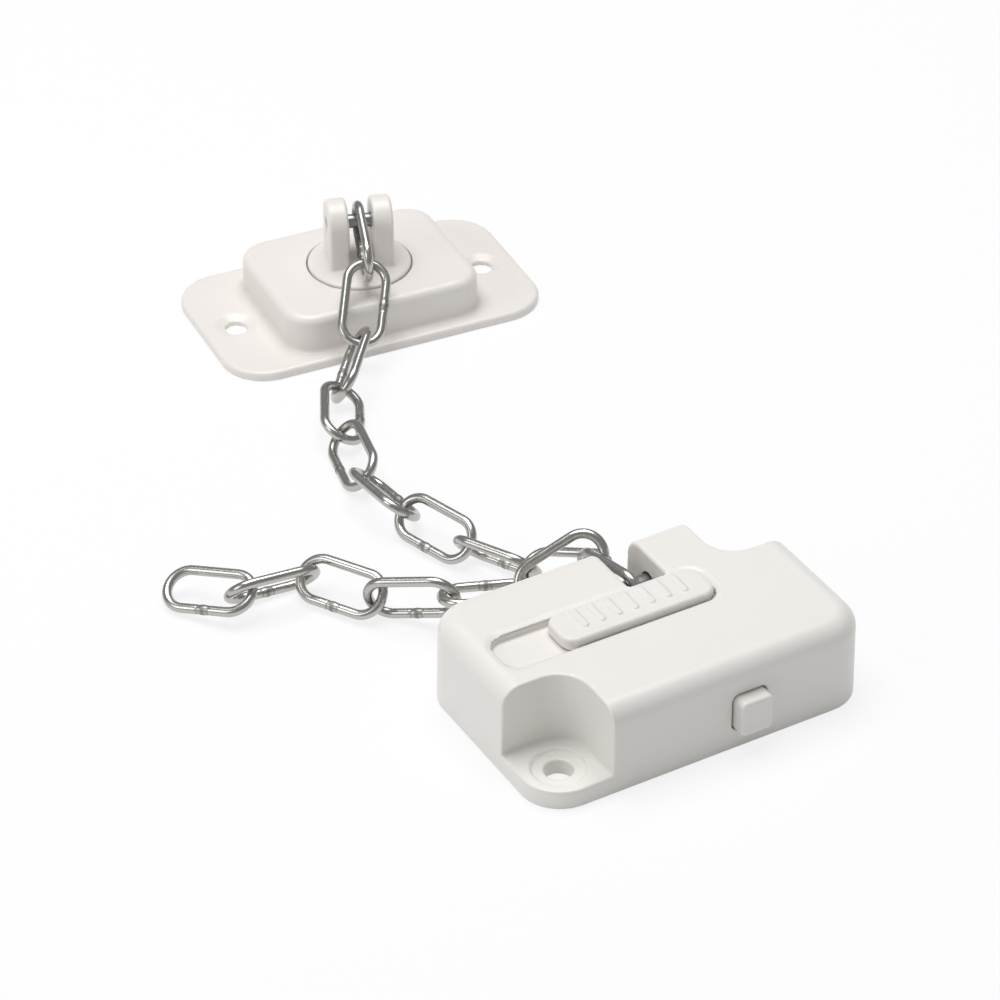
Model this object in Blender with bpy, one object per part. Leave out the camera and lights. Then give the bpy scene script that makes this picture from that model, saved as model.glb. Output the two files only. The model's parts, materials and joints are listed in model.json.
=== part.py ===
"""Window safety chain: a lock block, sixteen welded steel links and an anchor plate with a clevis.

Metres, +Z up. Everything lies on the plane Z = 0, as on a table. The origin is the middle of the
lock block's underside. The block is long in X, the release button faces -Y, and the slot that takes
the chain opens at the top and towards +Y. The chain leaves the slot, lies in a curve on the table
and climbs to the clevis of the anchor, whose place is the place that the chain reaches.
"""
import math

import bmesh
import bpy
from mathutils import Matrix, Vector

# Lock block, outside
LOCK_LENGTH = 0.0720
LOCK_WIDTH = 0.0458
LOCK_HEIGHT = 0.0191
LOCK_CORNER = 0.0083
LOCK_TOP_EDGE = 0.0040
LOCK_DRAFT = 0.0004
LOCK_WALL = 0.0021

# Fits that several pieces share
RUNNING_GAP = 0.0004
SEAT_GAP = 0.0003
OVERRUN = 0.0100

# Slot for the chain, bolt across it
SLOT_LEFT = 0.0011
SLOT_WIDTH = 0.0083
SLOT_LENGTH = 0.01445
SLOT_CORNER = 0.0006
SLOT_WALL = 0.0020
BOLT_RADIUS = 0.0020
BOLT_FROM_SLOT_END = 0.00625
BOLT_BELOW_ARM_TOP = 0.0026
BOLT_ABOVE_SLOT_FLOOR = 0.0075
BOLT_REACH = 0.0026
BOLT_BORE_EXTRA = 0.00035
BOLT_BORE_PAST = 0.0012

# Screw recesses in two opposite corners, the same turned half round
RECESS_LENGTH_SHARE = 0.2069
RECESS_WIDTH_SHARE = 0.3428
RECESS_CORNER = 0.0065
RECESS_FLOOR = 0.0040
RECESS_WALL = 0.0020
LOCK_HOLE_INSET = 0.0077
LOCK_HOLE_RADIUS = 0.00275
LOCK_SINK_RADIUS = 0.0052
LOCK_SINK_DEPTH = 0.0006

# Channel in the top, slider in it
CHANNEL_INSET = 0.0051
CHANNEL_PAST_SLOT = 0.0056
CHANNEL_TO_SLOT = 0.00105
CHANNEL_WIDTH = 0.0100
CHANNEL_DEPTH = 0.0017
CHANNEL_CORNER = 0.0033
CHANNEL_BEVEL = 0.0013
CHANNEL_BEVEL_REAR = 0.0006
CHANNEL_SKIN = 0.0020
SLIDER_SPARE = 0.0008
SLIDER_PROUD = 0.0010
SLIDER_EDGE = 0.0008
SLIDER_POCKET = 0.0014
SLIDE_TRAVEL = 0.0110
RIB_COUNT = 7
RIB_PITCH = 0.00363
RIB_WIDTH = 0.0014
RIB_LENGTH = 0.0060
RIB_HEIGHT = 0.0006
RIB_SETBACK = 0.0005
RIB_EDGE = 0.0004
RIB_ROOT = 0.0003

# Carrier under the channel, from the slider to the bolt
LEG_LENGTH = 0.0050
LEG_WIDTH = 0.0030
LEG_INSET = 0.0006
ARM_LENGTH = 0.0065
ARM_PAST_BOLT = 0.0033
ARM_DEPTH = 0.0051
TOOTH_LENGTH = 0.0040
TOOTH_WIDTH = 0.0025
TOOTH_DEPTH_SHARE = 0.375
BOLT_SOCKET_WALL = 0.0010

# Button in the front face, and its catch
BUTTON_LEFT = 0.0050
BUTTON_RIGHT = 0.0120
BUTTON_LOW = 0.0043
BUTTON_BELOW_TOP = 0.0071
BUTTON_PROUD = 0.0027
BUTTON_CORNER = 0.0012
BUTTON_EDGE = 0.0007
BUTTON_TRAVEL = 0.0023
FLANGE_LIP = 0.0010
FLANGE_THICK = 0.0010
STEM_SIDE = 0.0026
CROSSBAR_WIDTH = 0.0020
CATCH_BAR_SHARE = 0.275
CATCH_CLEAR = 0.0004

# Spring behind the button
SPRING_RADIUS = 0.0026
SPRING_WIRE = 0.00035
SPRING_LENGTH = 0.0093
SPRING_TURNS = 6
SPRING_STEPS = 10
SPRING_SIDES = 6

# Plate that closes the underside, its screws
BASE_THICK = 0.0020
SEAT_THICK = 0.0014
SEAT_MARGIN = 0.0006
BOSS_RADIUS = 0.0026
SCREW_RADIUS = 0.0009
SCREW_HEAD_RADIUS = 0.0020
SCREW_HEAD_THICK = 0.0007
SCREW_LENGTH = 0.0080
SCREW_SINK = 0.0002

# Chain: welded links, sixteen in all
LINK_COUNT = 16
WIRE_RADIUS = 0.0010
LINK_INSIDE = 0.0162
LINK_WIDTH = 0.0104
LINK_ARC_STEPS = 10
LINK_SIDES = 8
TAUT_GAP = 0.00035
SLACK_GAP = 0.0008
PIN_GAP = 0.0005
LAST_SLACK = 0.0020
HELD_SHIFT = 0.0054
HELD_DROP = 0.0006
HELD_HEADING = 97
HELD_RISE = -7
HELD_ROLL = 83

# Headings and rolls in degrees, link by link from the slot to the anchor, heights of the far hooks
MAIN_HEADINGS = (124.5, 114.3, 108, 94, 77, 62, 47, 53)
MAIN_ROLLS = (-23, 51, -49, 40, -49, 31, -58, 13)
MAIN_HEIGHT_SHARES = (0.44, 0.47, 0.42, 0.395, 0.395, 0.71)
MAIN_HOOK_SHARES = (0.403, -0.088, 0.207)
TAIL_HEADINGS = (167, 159.4, 133.2, 120, 177, 129)
TAIL_ROLLS = (134, -165, 81, -42, 54, -27)
TAIL_HEIGHT_SHARES = (0.775, 0.44, 0.415, 0.50, 0.26)
TAIL_HOOK_SHARES = (0.526, 0.483, 0.262)
MAIN_PIVOT_SHARE = -0.32
TAIL_PIVOT_SHARE = 0.92
MAIN_DROP_SHARE = 0.45
TAIL_DROP_SHARE = 0.624
FIRST_LINK_HEADING = 70
FIRST_LINK_RISE = 16

# Anchor: flange, raised pad, turret with two ears, pin
ANCHOR_LENGTH = 0.0733
ANCHOR_WIDTH = 0.0420
ANCHOR_THICK = 0.0020
ANCHOR_CORNER = 0.0098
ANCHOR_EDGE = 0.0009
ANCHOR_TURN = -5.3
FLANGE_PAST_PAD_ENDS = 0.0144
FLANGE_PAST_PAD_SIDES = 0.0037
PAD_TOP = 0.0103
PAD_CORNER = 0.0063
PAD_EDGE = 0.0018
PAD_FLARE = 0.0009
PAD_WALL = 0.0022
PAD_ROOF = 0.0030
ANCHOR_HOLE_INSET = 0.00765
ANCHOR_HOLE_RADIUS = 0.0024
ANCHOR_SINK_RADIUS = 0.0044
ANCHOR_SINK_DEPTH = 0.0010
TURRET_RADIUS = 0.0112
TURRET_SINK = 0.0015
TURRET_RIM = 0.0003
TURRET_DOME = 0.0021
TURRET_STEM_RADIUS = 0.0040
EAR_THICK = 0.0044
EAR_GAP = 0.0052
EAR_DEPTH = 0.0105
EAR_EDGE = 0.0008
PIN_HEIGHT = 0.0207
PIN_RADIUS = 0.0015
PIN_INSET = 0.0004
WASHER_RADIUS = 0.0075
WASHER_THICK = 0.0010
SWIVEL_SCREW_RADIUS = 0.0014
SWIVEL_HEAD_RADIUS = 0.0032
SWIVEL_HEAD_THICK = 0.0015
SWIVEL_SCREW_DEPTH = 0.0030

# How finely round shapes are divided
CORNER_STEPS = 6
EDGE_STEPS = 4
ROUND_STEPS = 32
SMALL_STEPS = 16
SHARP_ANGLE = 35

# Places worked out from the sizes above
HALF_LENGTH = LOCK_LENGTH / 2
HALF_WIDTH = LOCK_WIDTH / 2
RECESS_LENGTH = LOCK_LENGTH * RECESS_LENGTH_SHARE
RECESS_WIDTH = LOCK_WIDTH * RECESS_WIDTH_SHARE
LOCK_HOLE_X = HALF_LENGTH - LOCK_HOLE_INSET
LOCK_HOLE_Y = HALF_WIDTH - LOCK_HOLE_INSET
SLOT_RIGHT = SLOT_LEFT + SLOT_WIDTH
SLOT_FRONT = HALF_WIDTH - SLOT_LENGTH
BOLT_Y = SLOT_FRONT + BOLT_FROM_SLOT_END
CHANNEL_LEFT = -HALF_LENGTH + CHANNEL_INSET
CHANNEL_RIGHT = SLOT_RIGHT + CHANNEL_PAST_SLOT
CHANNEL_REAR = SLOT_FRONT - CHANNEL_TO_SLOT
CHANNEL_FRONT = CHANNEL_REAR - CHANNEL_WIDTH
SLOT_MIDDLE = (SLOT_LEFT + SLOT_RIGHT) / 2
CHANNEL_FLOOR = LOCK_HEIGHT - CHANNEL_DEPTH
CEILING = CHANNEL_FLOOR - CHANNEL_SKIN
SLIDER_RIGHT = CHANNEL_RIGHT - RUNNING_GAP
SLIDER_LEFT = CHANNEL_LEFT + RUNNING_GAP + SLIDE_TRAVEL + SLIDER_SPARE
SLIDER_FRONT = CHANNEL_FRONT + RUNNING_GAP
SLIDER_REAR = CHANNEL_REAR - RUNNING_GAP
SLIDER_BOTTOM = CHANNEL_FLOOR + SEAT_GAP
SLIDER_TOP = LOCK_HEIGHT + SLIDER_PROUD
ARM_RIGHT = SLOT_LEFT - SLOT_WALL - LEG_INSET
ARM_LEFT = ARM_RIGHT - ARM_LENGTH
ARM_TOP = CEILING - SEAT_GAP
ARM_BOTTOM = ARM_TOP - ARM_DEPTH
BOLT_Z = ARM_TOP - BOLT_BELOW_ARM_TOP
SLOT_FLOOR = BOLT_Z - BOLT_ABOVE_SLOT_FLOOR
LEG_FRONT = (SLIDER_FRONT + SLIDER_REAR) / 2 - LEG_WIDTH / 2
UNDER_ARM = ARM_BOTTOM - BASE_THICK
TOOTH_BOTTOM = ARM_BOTTOM - UNDER_ARM * TOOTH_DEPTH_SHARE
BUTTON_HIGH = LOCK_HEIGHT - BUTTON_BELOW_TOP
FRONT_WALL_IN = -HALF_WIDTH + LOCK_WALL
BUTTON_X = (BUTTON_LEFT + BUTTON_RIGHT) / 2
BUTTON_Z = (BUTTON_LOW + BUTTON_HIGH) / 2
FLANGE_FRONT = FRONT_WALL_IN + SEAT_GAP
FLANGE_BACK = FLANGE_FRONT + FLANGE_THICK
SEAT_FRONT = FLANGE_BACK + SPRING_LENGTH + 2 * SEAT_GAP
SEAT_BACK = SEAT_FRONT + SEAT_THICK
CROSSBAR_FRONT = SEAT_BACK + SEAT_GAP + BUTTON_TRAVEL / 2
LINK_HALF = LINK_INSIDE / 2 + WIRE_RADIUS
LINK_BEND = LINK_WIDTH / 2 - WIRE_RADIUS
LINK_STRAIGHT = LINK_HALF - LINK_BEND
WIRE = 2 * WIRE_RADIUS
PAD_LENGTH = ANCHOR_LENGTH - 2 * FLANGE_PAST_PAD_ENDS
PAD_WIDTH = ANCHOR_WIDTH - 2 * FLANGE_PAST_PAD_SIDES
ANCHOR_HOLE_X = ANCHOR_LENGTH / 2 - ANCHOR_HOLE_INSET
PAD_UNDER = PAD_TOP - PAD_ROOF
TURRET_FLOOR = PAD_TOP - TURRET_SINK
CLEVIS_WIDTH = EAR_GAP + 2 * EAR_THICK


# Mesh helpers

def material(name, colour, roughness, metallic):
    """A plain Principled material for one kind of piece."""
    made = bpy.data.materials.new(name)
    made.use_nodes = True
    shader = made.node_tree.nodes["Principled BSDF"]
    shader.inputs["Base Color"].default_value = (*colour, 1.0)
    shader.inputs["Roughness"].default_value = roughness
    shader.inputs["Metallic"].default_value = metallic
    made.diffuse_color = (*colour, 1.0)
    return made


def add_object(name, mesh, look=None, place=None):
    """Link a mesh into the scene as an object, shaded smooth where it is round."""
    thing = bpy.data.objects.new(name, mesh)
    bpy.context.collection.objects.link(thing)
    mesh.shade_smooth()
    mesh.set_sharp_from_angle(angle=math.radians(SHARP_ANGLE))
    if look is not None:
        mesh.materials.append(look)
    if place is not None:
        thing.matrix_world = place
    return thing


def mesh_from(name, points, faces):
    """A mesh from points and faces, its faces turned outwards."""
    mesh = bpy.data.meshes.new(name)
    mesh.from_pydata(points, [], faces)
    work = bmesh.new()
    work.from_mesh(mesh)
    bmesh.ops.recalc_face_normals(work, faces=work.faces)
    work.to_mesh(mesh)
    work.free()
    return mesh


def rounded(left, right, front, rear, corner):
    """The outline of a rectangle with round corners, anticlockwise."""
    if corner <= 0:
        return [(left, front), (right, front), (right, rear), (left, rear)]
    centres = ((right - corner, front + corner, -90), (right - corner, rear - corner, 0),
               (left + corner, rear - corner, 90), (left + corner, front + corner, 180))
    points = []
    for x, y, start in centres:
        for step in range(CORNER_STEPS + 1):
            angle = math.radians(start + 90 * step / CORNER_STEPS)
            points.append((x + corner * math.cos(angle), y + corner * math.sin(angle)))
    return points


def circle(x, y, radius, steps):
    """The outline of a circle, anticlockwise."""
    angles = [2 * math.pi * step / steps for step in range(steps)]
    return [(x + radius * math.cos(angle), y + radius * math.sin(angle)) for angle in angles]


def loft(name, levels):
    """A solid through outlines of as many points each, given as (height, outline) upwards."""
    count = len(levels[0][1])
    points = [(x, y, z) for z, outline in levels for x, y in outline]
    faces = [list(range(count))[::-1]]
    for level in range(len(levels) - 1):
        low = level * count
        for step in range(count):
            after = (step + 1) % count
            faces.append([low + step, low + after, low + count + after, low + count + step])
    top = (len(levels) - 1) * count
    faces.append([top + step for step in range(count)])
    return mesh_from(name, points, faces)


def block(name, box, corner=0, top_edge=0, draft=0):
    """A rectangular solid with round corners, a rounded upper edge and leaning walls.

    box is (left, right, front, rear, bottom, top). The wall leans in by draft over the height, and
    the upper edge is a quarter circle of radius top_edge.
    """
    left, right, front, rear, bottom, top = box
    insets = [(bottom, 0)]
    if top_edge > 0:
        for step in range(EDGE_STEPS + 1):
            angle = math.radians(90 * step / EDGE_STEPS)
            height = top - top_edge + top_edge * math.sin(angle)
            insets.append((height, draft + top_edge * (1 - math.cos(angle))))
    else:
        insets.append((top, draft))
    levels = []
    for height, inset in insets:
        outline = rounded(left + inset, right - inset, front + inset, rear - inset, corner - inset)
        levels.append((height, outline))
    return loft(name, levels)


def post(name, x, y, radius, bottom, top, steps=SMALL_STEPS, top_radius=None):
    """An upright cylinder, or a cone where top_radius differs."""
    upper = radius if top_radius is None else top_radius
    return loft(name, [(bottom, circle(x, y, radius, steps)), (top, circle(x, y, upper, steps))])


def tube(name, path, radius, sides, closed, flat_normal=None):
    """A round tube along a path of points; its ends are capped unless it closes on itself.

    Each ring stands square to the path. Its first direction is flat_normal where that is given, or
    else the last ring's direction with its part along the path taken away.
    """
    count = len(path)
    across = flat_normal
    points = []
    for step in range(count):
        before = path[step - 1] if closed or step > 0 else path[step]
        after = path[(step + 1) % count] if closed or step < count - 1 else path[step]
        along = (after - before).normalized()
        if across is None:
            across = along.orthogonal().normalized()
        across = (across - along * across.dot(along)).normalized()
        other = along.cross(across)
        for side in range(sides):
            angle = 2 * math.pi * (side + 0.5) / sides
            points.append(path[step] + across * radius * math.cos(angle) + other * radius * math.sin(angle))
    faces = []
    for step in range(count if closed else count - 1):
        low, high = step * sides, (step + 1) % count * sides
        for side in range(sides):
            after = (side + 1) % sides
            faces.append([low + side, low + after, high + after, high + side])
    if not closed:
        faces.append(list(range(sides))[::-1])
        faces.append([(count - 1) * sides + side for side in range(sides)])
    return mesh_from(name, points, faces)


def combine(target, mesh, operation, place=None):
    """Cut mesh away from target or fuse it on, as a Boolean modifier whose tool stays hidden."""
    tool = add_object(mesh.name, mesh, place=place)
    tool.hide_render = True
    tool.display_type = "WIRE"
    modifier = target.modifiers.new(mesh.name, "BOOLEAN")
    modifier.operation = operation
    modifier.object = tool
    return tool


def cut(target, mesh, place=None):
    """Take mesh away from target."""
    return combine(target, mesh, "DIFFERENCE", place)


def fuse(target, mesh, place=None):
    """Join mesh to target."""
    return combine(target, mesh, "UNION", place)


# Turns a solid that was drawn upright so that it stands along another axis
FACE_FRONT = Matrix.Rotation(math.radians(90), 4, "X")
ALONG_X = Matrix.Rotation(math.radians(90), 4, "Y")
HALF_TURN = Matrix.Rotation(math.radians(180), 4, "Z")


def lock_bores():
    """Boss places: (x, y) of the four screws that hold the base plate."""
    left = -HALF_LENGTH + LOCK_WALL + BOSS_RADIUS + SEAT_GAP
    rear = HALF_WIDTH - LOCK_WALL - BOSS_RADIUS - SEAT_GAP
    beside_slot = (SLOT_RIGHT + SLOT_WALL + HALF_LENGTH - RECESS_LENGTH - RECESS_WALL) / 2
    behind_recess = -HALF_WIDTH + RECESS_WIDTH + RECESS_WALL + 2 * BOSS_RADIUS
    return ((left + BOSS_RADIUS, rear - BOSS_RADIUS), (left + BOSS_RADIUS, behind_recess),
            (beside_slot, rear), (HALF_LENGTH - RECESS_LENGTH / 2, -rear))


def recess_box(grow, bottom, top):
    """The rear right recess as a box, its inner walls moved outwards by grow."""
    return (HALF_LENGTH - RECESS_LENGTH - grow, HALF_LENGTH + OVERRUN,
            HALF_WIDTH - RECESS_WIDTH - grow, HALF_WIDTH + OVERRUN, bottom, top)


def slot_box(grow, bottom, top):
    """The slot as a box that runs out of the rear, its walls moved outwards by grow."""
    return (SLOT_LEFT - grow, SLOT_RIGHT + grow, SLOT_FRONT - grow, HALF_WIDTH + OVERRUN, bottom, top)


def cavity_box(shrink, bottom, top):
    """The hollow inside the walls as a box, drawn in by shrink."""
    side = HALF_LENGTH - LOCK_WALL - shrink
    end = HALF_WIDTH - LOCK_WALL - shrink
    return (-side, side, -end, end, bottom, top)


def keep_clear(target, gap, bottom, top):
    """Cut the walls of the slot and the two recesses out of what fills the cavity."""
    cut(target, block("slot_wall", slot_box(SLOT_WALL + gap, bottom, top)))
    recess = recess_box(RECESS_WALL + gap, bottom, top)
    corner = RECESS_CORNER + RECESS_WALL + gap
    cut(target, block("recess_wall_rear", recess, corner))
    cut(target, block("recess_wall_front", recess, corner), HALF_TURN)


def build_housing(look):
    """The moulded block: slot, screw recesses, channel, button window, hollow underside."""
    outside = (-HALF_LENGTH, HALF_LENGTH, -HALF_WIDTH, HALF_WIDTH, 0, LOCK_HEIGHT)
    body = block("lock_housing", outside, LOCK_CORNER, LOCK_TOP_EDGE, LOCK_DRAFT)
    housing = add_object("lock_housing", body, look)

    hollow = block("hollow", cavity_box(0, -OVERRUN, CEILING), LOCK_CORNER - LOCK_WALL)
    cavity = cut(housing, hollow)
    keep_clear(cavity, 0, -2 * OVERRUN, LOCK_HEIGHT)
    for x, y in lock_bores():
        cut(cavity, post("boss", x, y, BOSS_RADIUS, BASE_THICK + SEAT_GAP, LOCK_HEIGHT))
        bore = SCREW_RADIUS + SEAT_GAP
        cut(housing, post("boss_bore", x, y, bore, -OVERRUN, SCREW_LENGTH + BASE_THICK))

    cut(housing, block("slot", slot_box(0, SLOT_FLOOR, LOCK_HEIGHT + OVERRUN), SLOT_CORNER))
    recess = recess_box(0, RECESS_FLOOR, LOCK_HEIGHT + OVERRUN)
    for side, turn in (("rear", Matrix()), ("front", HALF_TURN)):
        cut(housing, block("recess_" + side, recess, RECESS_CORNER), turn)
        hole = post("hole_" + side, LOCK_HOLE_X, LOCK_HOLE_Y, LOCK_HOLE_RADIUS, -OVERRUN, LOCK_HEIGHT)
        cut(housing, hole, turn)
        sunk = RECESS_FLOOR - LOCK_SINK_DEPTH
        ring = post("ring_" + side, LOCK_HOLE_X, LOCK_HOLE_Y, LOCK_SINK_RADIUS, sunk,
                    LOCK_HEIGHT, ROUND_STEPS)
        cut(housing, ring, turn)

    cut(housing, channel_mesh())
    slit_left = ARM_RIGHT - LEG_LENGTH - SLIDE_TRAVEL - RUNNING_GAP
    slit = (slit_left, ARM_RIGHT + RUNNING_GAP, LEG_FRONT - RUNNING_GAP,
            LEG_FRONT + LEG_WIDTH + RUNNING_GAP, CEILING - CHANNEL_SKIN, LOCK_HEIGHT)
    cut(housing, block("slit", slit))

    window = (BUTTON_LEFT - SEAT_GAP, BUTTON_RIGHT + SEAT_GAP, BUTTON_LOW - SEAT_GAP,
              BUTTON_HIGH + SEAT_GAP, -FRONT_WALL_IN - SEAT_GAP, HALF_WIDTH + OVERRUN)
    cut(housing, block("window", window, BUTTON_CORNER + SEAT_GAP), FACE_FRONT)

    bore_end = SLOT_RIGHT + BOLT_REACH + BOLT_BORE_PAST
    bore = post("bolt_bore", -BOLT_Z, BOLT_Y, BOLT_RADIUS + BOLT_BORE_EXTRA, ARM_RIGHT, bore_end)
    cut(housing, bore, ALONG_X)
    return housing


def channel_mesh():
    """The cutter of the slider's channel: straight walls below, a wide bevel at the top."""
    floor = rounded(CHANNEL_LEFT, CHANNEL_RIGHT, CHANNEL_FRONT, CHANNEL_REAR, CHANNEL_CORNER)
    mouth = rounded(CHANNEL_LEFT - CHANNEL_BEVEL, CHANNEL_RIGHT + CHANNEL_BEVEL,
                    CHANNEL_FRONT - CHANNEL_BEVEL, CHANNEL_REAR + CHANNEL_BEVEL_REAR,
                    CHANNEL_CORNER + CHANNEL_BEVEL_REAR)
    knee = LOCK_HEIGHT - CHANNEL_DEPTH / 4
    return loft("channel", [(CHANNEL_FLOOR, floor), (knee, floor), (LOCK_HEIGHT, mouth),
                            (LOCK_HEIGHT + OVERRUN, mouth)])


def build_base_plate(look):
    """The plate inside the underside, with the slotted post that the spring bears on."""
    plan = cavity_box(SEAT_GAP, 0, BASE_THICK)
    corner = LOCK_CORNER - LOCK_WALL - SEAT_GAP
    plate = add_object("lock_base_plate", block("lock_base_plate", plan, corner), look)
    keep_clear(plate, SEAT_GAP, -OVERRUN, OVERRUN)
    half = SPRING_RADIUS + SPRING_WIRE + SEAT_MARGIN
    seat = (BUTTON_X - half, BUTTON_X + half, SEAT_FRONT, SEAT_BACK, BASE_THICK / 2, BUTTON_Z + half)
    fuse(plate, block("spring_seat", seat))
    half = STEM_SIDE / 2 + RUNNING_GAP
    notch = (BUTTON_X - half, BUTTON_X + half, SEAT_FRONT - OVERRUN, SEAT_BACK + OVERRUN,
             BUTTON_Z - half, BUTTON_Z + OVERRUN)
    cut(plate, block("stem_notch", notch))
    for x, y in lock_bores():
        cut(plate, post("plate_bore", x, y, SCREW_RADIUS + SEAT_GAP, -OVERRUN, OVERRUN))
        sink_top = SCREW_SINK + SCREW_HEAD_THICK + SEAT_GAP
        cut(plate, post("plate_sink", x, y, SCREW_HEAD_RADIUS + SEAT_GAP, -OVERRUN, sink_top))
    return plate


def build_base_screws(look):
    """Four screws, heads down, from the base plate into the bosses."""
    for number, (x, y) in enumerate(lock_bores(), start=1):
        head_top = SCREW_SINK + SCREW_HEAD_THICK
        levels = ((SCREW_SINK, SCREW_HEAD_RADIUS), (head_top, SCREW_HEAD_RADIUS),
                  (head_top, SCREW_RADIUS), (SCREW_SINK + SCREW_LENGTH, SCREW_RADIUS))
        name = f"base_screw_{number:02d}"
        rings = [(height, circle(0, 0, radius, SMALL_STEPS)) for height, radius in levels]
        add_object(name, loft(name, rings), look, Matrix.Translation((x, y, 0)))


def build_slider(look):
    """The thumb slide with its ribs, and a pocket below for the carrier's leg."""
    middle = (SLIDER_LEFT + SLIDER_RIGHT) / 2
    body = (SLIDER_LEFT, SLIDER_RIGHT, SLIDER_FRONT, SLIDER_REAR, SLIDER_BOTTOM, SLIDER_TOP)
    slider = add_object("slider", block("slider", body, CHANNEL_CORNER - RUNNING_GAP, SLIDER_EDGE), look)
    rear = SLIDER_REAR - RIB_SETBACK
    for number in range(RIB_COUNT):
        x = middle + (number - (RIB_COUNT - 1) / 2) * RIB_PITCH
        bar = (x - RIB_WIDTH / 2, x + RIB_WIDTH / 2, rear - RIB_LENGTH, rear,
               SLIDER_TOP - RIB_ROOT, SLIDER_TOP + RIB_HEIGHT)
        fuse(slider, block("rib", bar, RIB_WIDTH / 2, RIB_EDGE))
    pocket = (ARM_RIGHT - LEG_LENGTH - SEAT_GAP, ARM_RIGHT + SEAT_GAP, LEG_FRONT - SEAT_GAP,
              LEG_FRONT + LEG_WIDTH + SEAT_GAP, CHANNEL_FLOOR, SLIDER_BOTTOM + SLIDER_POCKET)
    cut(slider, block("leg_pocket", pocket))
    return slider


def build_carrier(look):
    """The arm under the channel: a leg up to the slider, a tooth below, a socket for the bolt."""
    rear = BOLT_Y + ARM_PAST_BOLT
    arm = (ARM_LEFT, ARM_RIGHT, LEG_FRONT, rear, ARM_BOTTOM, ARM_TOP)
    carrier = add_object("slide_carrier", block("slide_carrier", arm), look)
    leg = (ARM_RIGHT - LEG_LENGTH, ARM_RIGHT, LEG_FRONT, LEG_FRONT + LEG_WIDTH,
           ARM_TOP - LEG_WIDTH, SLIDER_BOTTOM + SLIDER_POCKET - SEAT_GAP)
    fuse(carrier, block("carrier_leg", leg))
    tooth = (ARM_LEFT, ARM_LEFT + TOOTH_LENGTH, LEG_FRONT, LEG_FRONT + TOOTH_WIDTH,
             TOOTH_BOTTOM, ARM_BOTTOM + TOOTH_WIDTH)
    fuse(carrier, block("carrier_tooth", tooth))
    socket = post("bolt_socket", -BOLT_Z, BOLT_Y, BOLT_RADIUS + SEAT_GAP,
                  ARM_LEFT + BOLT_SOCKET_WALL, ARM_RIGHT + OVERRUN)
    cut(carrier, socket, ALONG_X)
    return carrier


def build_bolt(look):
    """The steel bolt, from its socket across the slot into the far wall, its tip rounded."""
    start = ARM_LEFT + BOLT_SOCKET_WALL + SEAT_GAP
    tip = SLOT_RIGHT + BOLT_REACH
    levels = ((start, BOLT_RADIUS), (tip - BOLT_RADIUS / 2, BOLT_RADIUS),
              (tip - BOLT_RADIUS / 6, BOLT_RADIUS * 3 / 4), (tip, BOLT_RADIUS / 3))
    rings = [(height, circle(-BOLT_Z, BOLT_Y, radius, SMALL_STEPS)) for height, radius in levels]
    return add_object("lock_bolt", loft("lock_bolt", rings), look, ALONG_X)


def build_button(look):
    """The release button: cap, flange behind the wall, stem through the spring, catch on a bar."""
    outer = HALF_WIDTH + BUTTON_PROUD
    cap = (BUTTON_LEFT, BUTTON_RIGHT, BUTTON_LOW, BUTTON_HIGH, -FLANGE_BACK, outer)
    button = add_object("button", block("button", cap, BUTTON_CORNER, BUTTON_EDGE), look, FACE_FRONT)
    flange = (BUTTON_LEFT - FLANGE_LIP, BUTTON_RIGHT + FLANGE_LIP, FLANGE_FRONT, FLANGE_BACK,
              BUTTON_LOW - FLANGE_LIP, BUTTON_HIGH + FLANGE_LIP)
    fuse(button, block("button_flange", flange))
    half = STEM_SIDE / 2
    bar_back = CROSSBAR_FRONT + CROSSBAR_WIDTH
    stem = (BUTTON_X - half, BUTTON_X + half, FLANGE_FRONT + FLANGE_THICK / 2, bar_back - CROSSBAR_WIDTH / 4,
            BUTTON_Z - half, BUTTON_Z + half)
    fuse(button, block("button_stem", stem))
    catch_right = ARM_LEFT - CATCH_CLEAR
    catch_left = catch_right - CROSSBAR_WIDTH
    bar_top = TOOTH_BOTTOM - CATCH_CLEAR
    bar_bottom = bar_top - UNDER_ARM * CATCH_BAR_SHARE
    crossbar = (catch_left, BUTTON_X, CROSSBAR_FRONT, bar_back, bar_bottom, bar_top)
    fuse(button, block("button_crossbar", crossbar))
    foot = (BUTTON_X - half - CATCH_CLEAR, BUTTON_X + half + CATCH_CLEAR, CROSSBAR_FRONT - CATCH_CLEAR / 4,
            bar_back + CATCH_CLEAR / 4, bar_bottom - CATCH_CLEAR / 4, BUTTON_Z + half + CATCH_CLEAR)
    fuse(button, block("button_foot", foot))
    post_front = LEG_FRONT + TOOTH_WIDTH + CATCH_CLEAR
    rail = (catch_left + CATCH_CLEAR / 2, catch_right - CATCH_CLEAR / 2, CROSSBAR_FRONT + CATCH_CLEAR,
            post_front + CROSSBAR_WIDTH, bar_bottom + CATCH_CLEAR / 2, bar_top)
    fuse(button, block("button_rail", rail))
    catch = (catch_left + CATCH_CLEAR, catch_right - CATCH_CLEAR, post_front,
             post_front + CROSSBAR_WIDTH - CATCH_CLEAR, bar_bottom + CATCH_CLEAR, ARM_BOTTOM - CATCH_CLEAR)
    fuse(button, block("button_catch", catch))
    return button


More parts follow.
